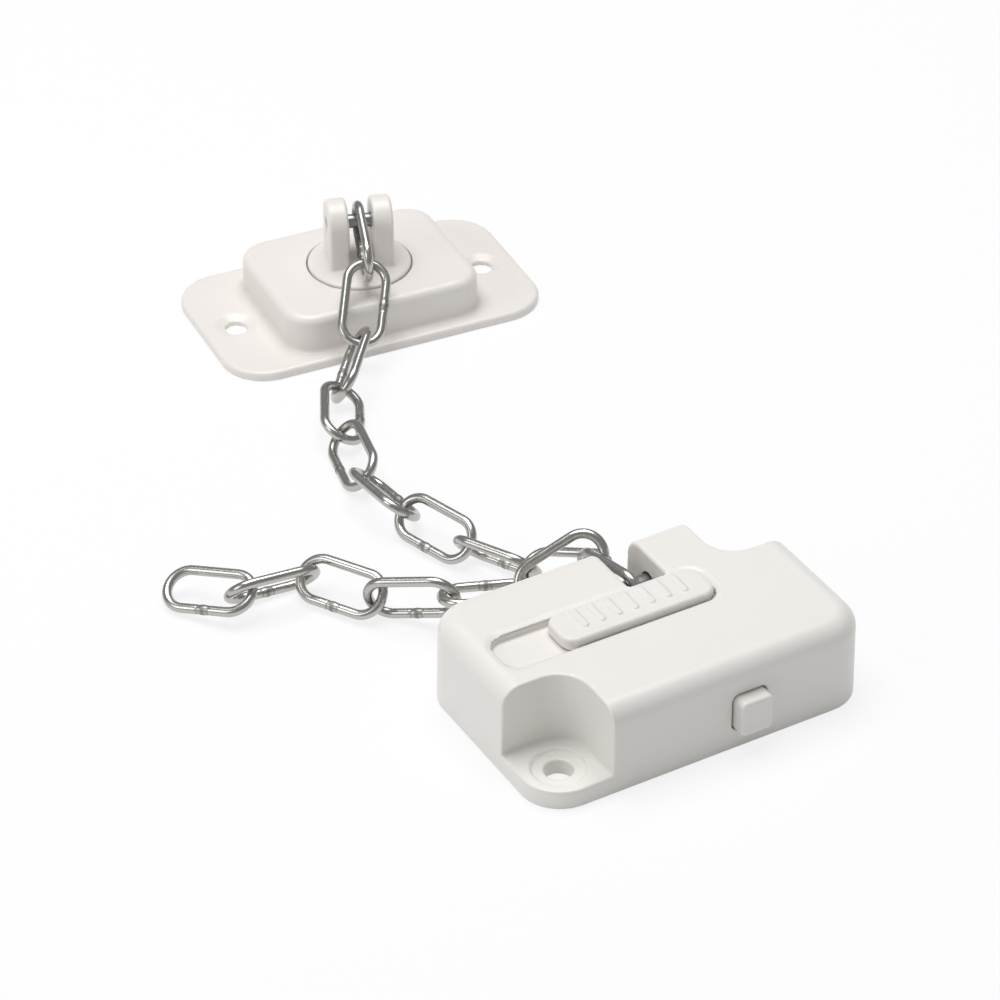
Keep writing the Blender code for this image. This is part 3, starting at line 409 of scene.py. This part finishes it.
BORE_RADIUS, BORE_MIDDLE, BORE_HALF = 2.35, 5.8, 7.4


def grown(box, amount):
    """A plan box with each side moved outwards."""
    left, right, front, rear = box
    return left - amount, right + amount, front - amount, rear + amount


def lock_field(x, y, z):
    """Rolled block, minus slot, recesses, channel, button window, hollow underside and bores."""
    half, deep = LENGTH / 2, WIDTH / 2
    lean = DRAFT * np.clip(z / HEIGHT, 0, 1)
    body = both(plan(x, y, -half, half, -deep, deep, CORNER) + lean, z - HEIGHT, TOP_EDGE)
    body = both(body, -z, 0.3)
    slot = both(plan(x, y, *SLOT, SLOT_CORNER), SLOT_FLOOR - z, 0.5)
    body = without(body, slot, 0.8)
    hollow = both(plan(x, y, WALL - half, half - WALL, WALL - deep, deep - WALL, CORNER - WALL),
                  z - CEILING, 0.5)
    hollow = without(hollow, plan(x, y, *grown(SLOT, INNER_WALL), SLOT_CORNER), 0.3)
    for side in (1, -1):
        u, v = side * x, side * y
        recess = both(plan(u, v, *RECESS, RECESS_CORNER), RECESS_FLOOR - z, 0.7)
        body = without(body, recess, 0.45)
        body = without(body, rod(u - HOLE_X, v - HOLE_Y, HOLE_RADIUS), 0.2)
        ring = both(rod(u - HOLE_X, v - HOLE_Y, RING_RADIUS), RECESS_FLOOR - RING_DEPTH - z, 0.4)
        body = without(body, ring, 0.45)
        kept = plan(u, v, *grown(RECESS, INNER_WALL), RECESS_CORNER + INNER_WALL)
        hollow = without(hollow, kept, 0.3)
    for boss_x, boss_y in BOSSES:
        hollow = without(hollow, both(rod(x - boss_x, y - boss_y, BOSS_RADIUS), BOSS_BOTTOM - z), 0.2)
    body = without(body, hollow, 0.2)
    for boss_x, boss_y in BOSSES:
        pilot = both(rod(x - boss_x, y - boss_y, PILOT_RADIUS), z - PILOT_TOP, 0.2)
        body = without(body, pilot, 0.1)
    outline = plan(x, y, *CHANNEL, CHANNEL_CORNER)
    rise = np.clip((z - (HEIGHT - BEVEL_DEPTH)) / BEVEL_DEPTH, 0, 3)
    mouth = both(outline - BEVEL * rise, HEIGHT - BEVEL_DEPTH - z)
    groove = both(either(outline, mouth), HEIGHT - CHANNEL_DEPTH - z, 0.25)
    body = without(body, groove, 0.2)
    slit = both(plan(x, y, *SLIT, SLIT_CORNER), SLIT_BOTTOM - z)
    body = without(body, slit, 0.15)
    window = both(plan(x, z, *grown(BUTTON, WINDOW_GAP), WINDOW_CORNER), y + deep - WALL - WINDOW_PAST_WALL)
    body = without(body, window, 0.35)
    bore = both(rod(y - BOLT_Y, z - BOLT_Z, BORE_RADIUS), np.abs(x - BORE_MIDDLE) - BORE_HALF)
    return without(body, bore, 0.2)


# The busy places along x, y and z are walls, rims and holes, where the grid has to be fine.
LOCK_STEPS = (0.34, 1.5)
lock_spans = ((-LENGTH / 2, LENGTH / 2), (-WIDTH / 2, WIDTH / 2), (0, HEIGHT))
lock_marks = ((-36, -32.5, -28.4, -21.1, -18, 1.1, 9.4, 12, 15, 21.1, 28.4, 32.5, 36, 4.8, -23, 23, 17.3),
              (-22.9, -19.5, -15.2, -7.2, -2.6, 0.5, 4.3, 7.4, 8.45, 14.7, 17.9, 19.5, 22.9, 10.6),
              (0, 2.3, 4, 3.4, 5, 12.5, 13.4, 15.4, 17.4, 18.65, 19.1, 16.2))
moulded("lock_block", lock_field, lock_spans, lock_marks, LOCK_STEPS,
        abs_lock, "lock", ["lock_housing"])

# %% [markdown]
# ## The thumb slide and the release button
# The slide is a long flat bar, a millimetre proud of the block, with seven low ribs for the
# thumb. Each rib is a bar with round ends. The button is a small square cap with soft edges. Its
# flange, stem and catch stay inside, as in the frame.

# %% Slide
SLIDER = (-18.7, 14.6, -2.2, 7.0)
SLIDER_MIDDLE = (SLIDER[0] + SLIDER[1]) / 2
SLIDER_CORNER, SLIDER_BOTTOM, SLIDER_TOP = 2.9, 17.7, 20.1
RIBS_EACH_WAY, RIB_PITCH, RIB_WIDTH, RIB_FRONT, RIB_REAR = 3, 3.63, 1.4, 0.5, 6.5
RIB_CORNER, RIB_HEIGHT, RIB_EDGE = 0.69, 0.3, 0.28
POCKET = (-6.8, -1.2, 0.6, 4.2)
POCKET_CORNER, POCKET_TOP = 0.2, 19.1


def slider_field(x, y, z):
    """A bar with a rounded upper edge, seven ribs on top, a pocket below for the carrier's leg."""
    bar = both(plan(x, y, *SLIDER, SLIDER_CORNER), z - SLIDER_TOP, 0.8)
    bar = both(bar, SLIDER_BOTTOM - z, 0.2)
    along = x - SLIDER_MIDDLE
    nearest = np.clip(np.round(along / RIB_PITCH), -RIBS_EACH_WAY, RIBS_EACH_WAY) * RIB_PITCH
    rib = plan(along - nearest, y, -RIB_WIDTH / 2, RIB_WIDTH / 2, RIB_FRONT, RIB_REAR, RIB_CORNER)
    rib = both(rib, np.abs(z - SLIDER_TOP) - RIB_HEIGHT, RIB_EDGE)
    bar = either(bar, rib, 0.3)
    pocket = both(plan(x, y, *POCKET, POCKET_CORNER), z - POCKET_TOP)
    return without(bar, pocket, 0.1)


SLIDER_STEPS = (0.2, 0.8)
rib_places = [SLIDER_MIDDLE + RIB_PITCH * step for step in range(-RIBS_EACH_WAY, RIBS_EACH_WAY + 1)]
rib_marks = [place + side for place in rib_places for side in (-RIB_WIDTH / 2, RIB_WIDTH / 2)]
moulded("thumb_slide", slider_field, (SLIDER[:2], SLIDER[2:], (17.7, 20.7)),
        ((-18.7, -15.8, -6.8, -1.2, 11.7, 14.6, *rib_marks), (-2.2, 0.5, 4.2, 6.5, 7.0),
         (17.7, 19.1, 20.1, 20.7)),
        SLIDER_STEPS, abs_moving, "slide", ["slider"])

# %% Button
CAP_CORNER, CAP_EDGE, CAP_FRONT, CAP_BACK = 1.2, 0.7, -25.6, -19.5
# Each inner part has its box in x and z, that box's corner, its middle in y and half its depth.
BUTTON_PARTS = {"flange": (grown(BUTTON, 1.0), 0.3, -20.0, 0.5),
                "stem": ((7.2, 9.8, 6.85, 9.45), 0.2, -12.5, 7.5),
                "foot": ((6.8, 10.2, 4.35, 9.85), 0.2, -5.75, 1.05),
                "bar": ((-10.4, 8.5, 4.4, 6.6), 0.2, -5.75, 1.0),
                "rail": ((-10.2, -8.6, 4.6, 6.6), 0.2, -0.275, 6.075),
                "catch": ((-10.0, -8.8, 4.8, 9.6), 0.2, 4.6, 0.8)}
BUTTON_STEPS = (0.22, 1.0)


def button_field(x, y, z):
    """Cap with rounded edges, flange, stem, and the bar that carries the catch."""
    whole = both(plan(x, z, *BUTTON, CAP_CORNER), CAP_FRONT - y, CAP_EDGE)
    whole = both(whole, y - CAP_BACK, 0.1)
    for box, corner, middle, half_depth in BUTTON_PARTS.values():
        part = both(plan(x, z, *box, corner), np.abs(y - middle) - half_depth, 0.1)
        whole = either(whole, part, 0.1)
    return whole


moulded("release_button", button_field, ((-10.4, 13.0), (-25.6, 5.4), (3.3, 13.0)),
        ((-10.4, -8.4, 4.0, 5.0, 6.8, 10.2, 12.0, 13.0), (-25.6, -20.5, -19.5, -6.8, -4.7, 3.8, 5.4),
         (3.3, 4.3, 6.6, 9.85, 12.0, 13.0)),
        BUTTON_STEPS, abs_moving, "release_button", ["button"])

# %% [markdown]
# ## The anchor
# A thin flange with large round corners carries a raised pad, and the two meet in a soft hollow
# foot. A round turret turns in the pad: a low dome with two ears for the pin. The anchor's place
# is read from the frame: its axis from the turning joint, its heading from its mount.

# %% Anchor plate
axis_place = Vector(JOINTS["anchor_turn"]["pos_m"])
axis_place.z = 0.0
toward_front = Vector(MOUNTS["anchor_back"]["pos_m"]) - axis_place
plate_turn = math.atan2(toward_front.y, toward_front.x) + math.pi / 2
ear_axis = Vector(JOINTS["clevis_on_link_01"]["axis"])
if ear_axis.x < 0:
    ear_axis.negate()
turret_turn = math.atan2(ear_axis.y, ear_axis.x)
plate_place = Matrix.Translation(axis_place) @ Matrix.Rotation(plate_turn, 4, "Z")
turret_place = Matrix.Translation(axis_place) @ Matrix.Rotation(turret_turn, 4, "Z")
print("anchor: plate turned", round(math.degrees(plate_turn), 2),
      "turret", round(math.degrees(turret_turn), 2))

FLANGE = (-36.65, 36.65, -21.0, 21.0)
FLANGE_CORNER, FLANGE_EDGE, FLANGE_THICK = 9.8, 0.9, 2.0
PAD = (-22.25, 22.25, -17.3, 17.3)
PAD_CORNER, PAD_EDGE, PAD_TOP, PAD_DRAFT, PAD_FOOT = 6.3, 1.8, 10.3, 0.25, 1.1
HOLLOW = (-20.05, 20.05, -15.1, 15.1)
HOLLOW_CORNER, HOLLOW_TOP = 4.1, 7.3
TURRET_RADIUS, TURRET_GAP, TURRET_FLOOR, STEM_BORE = 11.2, 0.3, 8.8, 4.3
SCREW_X, SCREW_RADIUS, SINK_BOTTOM, SINK_SLOPE, SINK_PAST_FLANGE = 29.0, 2.4, 1.0, 2.0, 0.5
PLATE_STEPS = (0.3, 1.5)


def plate_field(x, y, z):
    """Flange and pad joined with a hollow foot, minus the turret's recess and bore, the screw
    holes and the hollow below the pad."""
    flange = both(plan(x, y, *FLANGE, FLANGE_CORNER), z - FLANGE_THICK, FLANGE_EDGE)
    lean = PAD_DRAFT * np.clip((PAD_TOP - z) / PAD_TOP, 0, 1)
    pad = both(plan(x, y, *PAD, PAD_CORNER) - lean, z - PAD_TOP, PAD_EDGE)
    body = both(either(flange, pad, PAD_FOOT), -z, 0.2)
    hollow = both(plan(x, y, *HOLLOW, HOLLOW_CORNER), z - HOLLOW_TOP, 0.4)
    body = without(body, hollow, 0.2)
    recess = both(rod(x, y, TURRET_RADIUS + TURRET_GAP), TURRET_FLOOR - z, 0.2)
    body = without(body, recess, 0.25)
    body = without(body, rod(x, y, STEM_BORE), 0.2)
    hole = rod(np.abs(x) - SCREW_X, y, SCREW_RADIUS)
    sink = (hole - SINK_SLOPE * (z - SINK_BOTTOM)) / math.sqrt(1 + SINK_SLOPE ** 2)
    sink = both(sink, z - FLANGE_THICK - SINK_PAST_FLANGE)
    body = without(body, hole, 0.1)
    return without(body, sink, 0.2)


moulded("anchor_plate", plate_field, (FLANGE[:2], FLANGE[2:], (0, PAD_TOP)),
        ((-36.65, -33.4, -29, -24.6, -22.25, -11.5, 0, 11.5, 22.25, 24.6, 29, 33.4, 36.65),
         (-21, -17.3, -15.1, -11.5, -4.4, 4.4, 11.5, 15.1, 17.3, 21), (0, 1, 2, 3.1, 7.3, 8.8, 10.3)),
        PLATE_STEPS, abs_anchor, "anchor", ["anchor_base"], plate_place)

# %% Turret
PIN_HEIGHT, PIN_BORE = 20.7, 1.8
EAR_GAP, EAR_THICK, EAR_DEPTH, EAR_EDGE, EAR_BOTTOM = 5.2, 4.4, 10.5, 0.75, 10.3
DISC_BOTTOM, DOME_START, DOME_RISE = 9.1, 10.6, 2.1
STEM_RADIUS, STEM_MIDDLE, STEM_HALF = 4.0, 9.0, 2.0
SCREW_BORE, SCREW_BORE_TOP = 1.7, 10.6
TURRET_STEPS = (0.24, 0.7)


def turret_field(x, y, z):
    """A domed disc on a stem, two ears with round tops, the pin's bore and the screw's."""
    dome = DOME_START + DOME_RISE * (1 - (np.minimum(np.hypot(x, y), TURRET_RADIUS) / TURRET_RADIUS) ** 2)
    disc = both(rod(x, y, TURRET_RADIUS), z - dome, 0.35)
    disc = both(disc, DISC_BOTTOM - z, 0.2)
    stem = both(rod(x, y, STEM_RADIUS), np.abs(z - STEM_MIDDLE) - STEM_HALF, 0.2)
    body = either(disc, stem, 0.1)
    outline = np.where(z > PIN_HEIGHT, np.hypot(y, z - PIN_HEIGHT) - EAR_DEPTH / 2,
                       np.abs(y) - EAR_DEPTH / 2)
    side = np.abs(np.abs(x) - (EAR_GAP + EAR_THICK) / 2) - EAR_THICK / 2
    ears = both(both(outline, side, EAR_EDGE), EAR_BOTTOM - z)
    body = either(body, ears, 0.6)
    body = without(body, rod(y, z - PIN_HEIGHT, PIN_BORE), 0.15)
    return without(body, both(rod(x, y, SCREW_BORE), z - SCREW_BORE_TOP), 0.1)


turret_span = (-TURRET_RADIUS, TURRET_RADIUS)
moulded("anchor_turret", turret_field, (turret_span, turret_span, (7.0, 25.95)),
        ((-11.2, -7, -2.6, 0, 2.6, 7, 11.2), (-11.2, -5.25, 0, 5.25, 11.2),
         (7, 9.1, 10.6, 12.6, 20.7, 25.95)),
        TURRET_STEPS, abs_anchor, "swivel", ["anchor_swivel"], turret_place)

# %% [markdown]
# ## Turned pieces
# The pin and the bolt are turned from round bar: a profile of radius against length, carried
# once round the axis. Faces that meet at more than the sharp angle shade apart, so the edges of
# the chamfers stay crisp.

# %% Turned pieces
TURN_SIDES = 48
SHARP_ANGLE = 30


def turned(profile):
    """Points and faces of a profile of (height, radius) pairs carried round the Z axis, closed by
    a fan at each end."""
    heights, radii = np.array(profile).T
    angle = np.linspace(0, 2 * np.pi, TURN_SIDES, endpoint=False)
    rings = np.stack([radii[:, None] * np.cos(angle), radii[:, None] * np.sin(angle),
                      np.broadcast_to(heights[:, None], (len(heights), TURN_SIDES))], -1)
    points = np.concatenate([rings.reshape(-1, 3), [[0, 0, heights[0]], [0, 0, heights[-1]]]])
    ring = np.arange(len(heights) - 1)[:, None] * TURN_SIDES
    here = np.arange(TURN_SIDES)
    after = (here + 1) % TURN_SIDES
    quads = np.stack([ring + here, ring + after, ring + TURN_SIDES + after, ring + TURN_SIDES + here], -1)
    bottom, top = len(points) - 2, len(points) - 1
    last = (len(heights) - 1) * TURN_SIDES
    fans = np.concatenate([np.stack([after, here, np.full(TURN_SIDES, bottom)], -1),
                           np.stack([last + here, last + after, np.full(TURN_SIDES, top)], -1)])
    return points, quads.reshape(-1, 4).tolist() + fans.tolist()


def turned_piece(name, profile, place, body, replaced):
    """A turned piece, laid where place says."""
    points, faces = turned(profile)
    piece = finish_piece(name, points, faces, pin_steel, body, replaced, None, place)
    piece.data.set_sharp_from_angle(angle=math.radians(SHARP_ANGLE))


along_x = Matrix.Rotation(math.radians(90), 4, "Y")
bolt_place = Matrix.Translation((0, BOLT_Y * MM, BOLT_Z * MM)) @ along_x
bolt_profile = [(-6.7, 1.7), (-6.4, 2.0), (10.9, 2.0), (11.3, 1.92), (11.6, 1.72), (11.85, 1.35),
                (12.0, 0.8)]
turned_piece("lock_bolt_bar", bolt_profile, bolt_place, "slide", ["lock_bolt"])
pin_place = turret_place @ Matrix.Translation((0, 0, PIN_HEIGHT * MM)) @ along_x
pin_profile = [(-6.6, 1.2), (-6.35, 1.5), (6.35, 1.5), (6.6, 1.2)]
turned_piece("clevis_pin_bar", pin_profile, pin_place, "swivel", ["clevis_pin"])

# %% [markdown]
# ## The spring
# Behind the button stands a coil of fine spring wire. The tube below follows a helix of even
# pitch and narrows at its two ends. Its rear end leans on the base plate, so it rides with the
# block and doesn't travel with the button. The same tube is used for the links.

# %% Tubes along a path
def tube(path, radius, sides, closed, upright):
    """Points and faces of a round tube: ring i is path[i] plus radius[i] times the circle in the
    plane across the path, started from the upright direction."""
    ahead = np.roll(path, -1, 0) - np.roll(path, 1, 0)
    if not closed:
        ahead[0], ahead[-1] = path[1] - path[0], path[-1] - path[-2]
    ahead /= np.linalg.norm(ahead, axis=1)[:, None]
    first = upright - (upright * ahead).sum(1)[:, None] * ahead
    first /= np.linalg.norm(first, axis=1)[:, None]
    second = np.cross(ahead, first)
    angle = np.linspace(0, 2 * np.pi, sides, endpoint=False)[None, :, None]
    wide = np.broadcast_to(radius, (len(path),))[:, None, None]
    rings = path[:, None] + wide * (np.cos(angle) * first[:, None] + np.sin(angle) * second[:, None])
    count = len(path)
    ring = np.arange(count if closed else count - 1)
    here = np.arange(sides)
    low = ring[:, None] * sides
    high = ((ring + 1) % count)[:, None] * sides
    after = (here + 1) % sides
    quads = np.stack([low + here, low + after, high + after, high + here], -1).reshape(-1, 4)
    return rings.reshape(-1, 3), quads.tolist()


SPRING_TURNS, SPRING_RADIUS, SPRING_WIRE, SPRING_TIP = 6.0, 2.6, 0.35, 0.2
SPRING_START, SPRING_LENGTH = -19.2, 9.3
SPRING_X, SPRING_Z = 8.5, 8.15
SPRING_STEPS, SPRING_SIDES = 220, 12
turns = np.linspace(0, SPRING_TURNS, SPRING_STEPS)
run = SPRING_START + SPRING_WIRE + (SPRING_LENGTH - 2 * SPRING_WIRE) * turns / SPRING_TURNS
coil = np.stack([SPRING_X + SPRING_RADIUS * np.cos(2 * np.pi * turns), run,
                 SPRING_Z + SPRING_RADIUS * np.sin(2 * np.pi * turns)], -1)
outward = coil - np.stack([np.full_like(run, SPRING_X), run, np.full_like(run, SPRING_Z)], -1)
taper = np.full(len(coil), SPRING_WIRE)
taper[[0, -1]] = SPRING_WIRE * SPRING_TIP
points, faces = tube(coil, taper, SPRING_SIDES, False, outward)
spring = finish_piece("button_coil_spring", points, faces, pin_steel, "lock",
                      ["button_spring"])
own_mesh(spring)

# %% [markdown]
# ## The chain
# Each link is wire bent to two straights and two half circles, butt welded in the middle of one
# straight. A link's place is read from its CAD node: its centre is the mean of the vertices, and
# the long and wide directions are the first two axes of their spread. The weld is a slight
# collar between two pinch marks. The wide direction is turned upward, and the weld is in the
# straight on the other side.

# %% Links
WIRE_RADIUS, LINK_BEND, LINK_STRAIGHT = 1.0, 4.2, 4.9
WIRE_SIDES, BEND_STEPS, SIDE_STEPS = 24, 28, 40
COLLAR_HEIGHT, COLLAR_WIDTH = 0.07, 0.45
PINCH_DEPTH, PINCH_PLACE, PINCH_WIDTH = 0.06, 1.15, 0.16
WELD_TINT_WIDTH, PINCH_TINT, PINCH_TINT_WIDTH = 0.55, 0.8, 0.2
FAR_FROM_WELD = 9


def link_path(steps_round, steps_side):
    """The link's centre line from the start of one side: straight, half circle, straight, half
    circle. Returns its points and the length travelled at each."""
    side = np.linspace(0, 1, steps_side, endpoint=False)
    bend = np.linspace(-np.pi / 2, np.pi / 2, steps_round, endpoint=False)
    long_x = LINK_STRAIGHT * (2 * side - 1)
    near = np.stack([long_x, np.full_like(side, -LINK_BEND)], -1)
    right = np.stack([LINK_STRAIGHT + LINK_BEND * np.cos(bend), LINK_BEND * np.sin(bend)], -1)
    loop = np.concatenate([near, right, -near, -right])
    loop = np.concatenate([loop, np.zeros((len(loop), 1))], -1)
    steps = np.linalg.norm(np.diff(loop, axis=0), axis=1)
    return loop, np.concatenate([[0], np.cumsum(steps)])


def weld_swell(loop):
    """The weld's change of the wire's radius and its tint, from 0 to 1, by the distance from the
    middle of the near side."""
    near = np.abs(loop[:, 1] + LINK_BEND) < 1e-6
    away = np.where(near, np.abs(loop[:, 0]), FAR_FROM_WELD)
    collar = COLLAR_HEIGHT * np.exp(-(away / COLLAR_WIDTH) ** 2)
    pinch = -PINCH_DEPTH * np.exp(-((away - PINCH_PLACE) / PINCH_WIDTH) ** 2)
    weld_tint = np.exp(-(away / WELD_TINT_WIDTH) ** 2)
    pinch_tint = PINCH_TINT * np.exp(-((away - PINCH_PLACE) / PINCH_TINT_WIDTH) ** 2)
    return collar + pinch, np.clip(weld_tint + pinch_tint, 0, 1)


def link_axes(node):
    """A link's centre and the unit directions along and across it, from its CAD node's vertices."""
    mesh = frame["nodes"][node].data
    flat = np.empty(len(mesh.vertices) * 3, np.float32)
    mesh.vertices.foreach_get("co", flat)
    where = flat.reshape(-1, 3).astype(float)
    where = np.unique(where.round(7), axis=0)
    centre = where.mean(0)
    _, _, axes = np.linalg.svd(where - centre, full_matrices=False)
    return centre, axes[0], axes[1]


loop, travelled = link_path(BEND_STEPS, SIDE_STEPS)
swell, weld_mask = weld_swell(loop)
link_points, link_faces = tube(loop, WIRE_RADIUS + swell, WIRE_SIDES, True, np.array([0.0, 0.0, 1.0]))
for number in range(1, 17):
    node = f"chain_link_{number:02d}"
    centre, along, across = link_axes(node)
    if across[2] < 0:
        across = -across
    place = Matrix(np.column_stack([along, across, np.cross(along, across)]).tolist()).to_4x4()
    place.translation = Vector(centre)
    link = finish_piece(f"link_{number:02d}_wire", link_points, link_faces, link_steel,
                        f"link_{number:02d}", [node], None, place)
    mesh = link.data
    corner = np.empty(len(mesh.loops), np.int32)
    mesh.loops.foreach_get("vertex_index", corner)
    ring, side = corner // WIRE_SIDES, corner % WIRE_SIDES
    wire = mesh.uv_layers.new(name="wire")
    flow = np.stack([travelled[ring], side / WIRE_SIDES], -1)
    wire.data.foreach_set("uv", flow.astype(np.float32).ravel())
    weld = mesh.attributes.new("weld", "FLOAT", "POINT")
    weld.data.foreach_set("value", np.repeat(weld_mask, WIRE_SIDES).astype(np.float32))
print("chain: 16 links,", round(float(travelled[-1]), 1), "mm of wire each")

# %% [markdown]
# ## Pieces that stay as the frame has them
# The plate below, the carrier inside, the washer and the screws keep their CAD shape and get the
# material of their kind.

# %% Materials of the carried-over pieces
KEPT = {"lock_base_plate": abs_lock, "slide_carrier": abs_moving, "swivel_washer": pin_steel,
        "swivel_screw": pin_steel, "base_screw_01": pin_steel, "base_screw_02": pin_steel,
        "base_screw_03": pin_steel, "base_screw_04": pin_steel}
for node, look in KEPT.items():
    frame["nodes"][node].data.materials.clear()
    frame["nodes"][node].data.materials.append(look)
print("kept:", ", ".join(KEPT))

# %% [markdown]
# ## Studio
# A pale floor under one large overhead softbox, a weaker one on the left, and a dim room round
# them. Where the camera sees them, the floor mostly glows white and the room is white, so the
# background is white and the floor keeps a soft shadow. The floor glows in reflections too.

# %% Floor, light and world
FLOOR_REACH, FLOOR_GLOW = 3.0, 0.8
LIGHT_AIM = (0.0, 0.07, 0.0)
ROOM_STRENGTH = 0.52
floor_mesh = bpy.data.meshes.new("floor")
floor_corners = [(-FLOOR_REACH, -FLOOR_REACH, 0), (FLOOR_REACH, -FLOOR_REACH, 0),
                 (FLOOR_REACH, FLOOR_REACH, 0), (-FLOOR_REACH, FLOOR_REACH, 0)]
floor_mesh.from_pydata(floor_corners, [], [(0, 1, 2, 3)])
floor = bpy.data.objects.new("floor", floor_mesh)
bpy.context.scene.collection.objects.link(floor)
floor_look, tree, shader, _ = new_material("studio_floor")
rays = add_node(tree, "ShaderNodeLightPath")
seen = add_node(tree, "ShaderNodeMath", [(0, rays.outputs["Is Camera Ray"]),
                                         (1, rays.outputs["Is Glossy Ray"])], operation="MAXIMUM")
seen = add_node(tree, "ShaderNodeMath", [(0, seen.outputs["Value"]),
                                         (1, rays.outputs["Is Transmission Ray"])], operation="MAXIMUM")
shader.inputs["Base Color"].default_value = linear("F4F4F4")
shader.inputs["Roughness"].default_value = 0.9
glow = add_node(tree, "ShaderNodeEmission", [("Color", (1, 1, 1, 1)), ("Strength", 1.0)])
share = add_node(tree, "ShaderNodeMath", [(0, seen.outputs["Value"]), (1, FLOOR_GLOW)],
                 operation="MULTIPLY")
mixed = add_node(tree, "ShaderNodeMixShader", [(0, share.outputs["Value"]), (1, shader.outputs["BSDF"]),
                                               (2, glow.outputs["Emission"])])
tree.links.new(mixed.outputs["Shader"], tree.nodes["Material Output"].inputs["Surface"])
floor_mesh.materials.append(floor_look)


def softbox(name, place, width, height, power):
    """A rectangular area lamp at place that faces LIGHT_AIM."""
    lamp = bpy.data.lights.new(name, "AREA")
    lamp.shape = "RECTANGLE"
    lamp.size, lamp.size_y = width, height
    lamp.energy = power
    holder = bpy.data.objects.new(name, lamp)
    bpy.context.scene.collection.objects.link(holder)
    holder.location = place
    holder.rotation_euler = (Vector(LIGHT_AIM) - Vector(place)).to_track_quat("-Z", "Y").to_euler()


softbox("top_softbox", place=(0.0, 0.25, 0.9), width=0.8, height=0.6, power=7.0)
softbox("left_softbox", place=(-0.9, 0.1, 0.5), width=0.5, height=0.5, power=1.8)

world = bpy.data.worlds.new("studio")
bpy.context.scene.world = world
world.use_nodes = True
tree = world.node_tree
room = tree.nodes["Background"]
room.inputs["Color"].default_value = linear("C8CACC")
room.inputs["Strength"].default_value = ROOM_STRENGTH
rays = add_node(tree, "ShaderNodeLightPath")
white = add_node(tree, "ShaderNodeBackground", [("Color", (1, 1, 1, 1)), ("Strength", 1.0)])
mixed = add_node(tree, "ShaderNodeMixShader", [(0, rays.outputs["Is Camera Ray"]),
                                               (1, room.outputs["Background"]),
                                               (2, white.outputs["Background"])])
tree.links.new(mixed.outputs["Shader"], tree.nodes["World Output"].inputs["Surface"])
bpy.context.scene.view_settings.view_transform = "Standard"
print("studio ready")
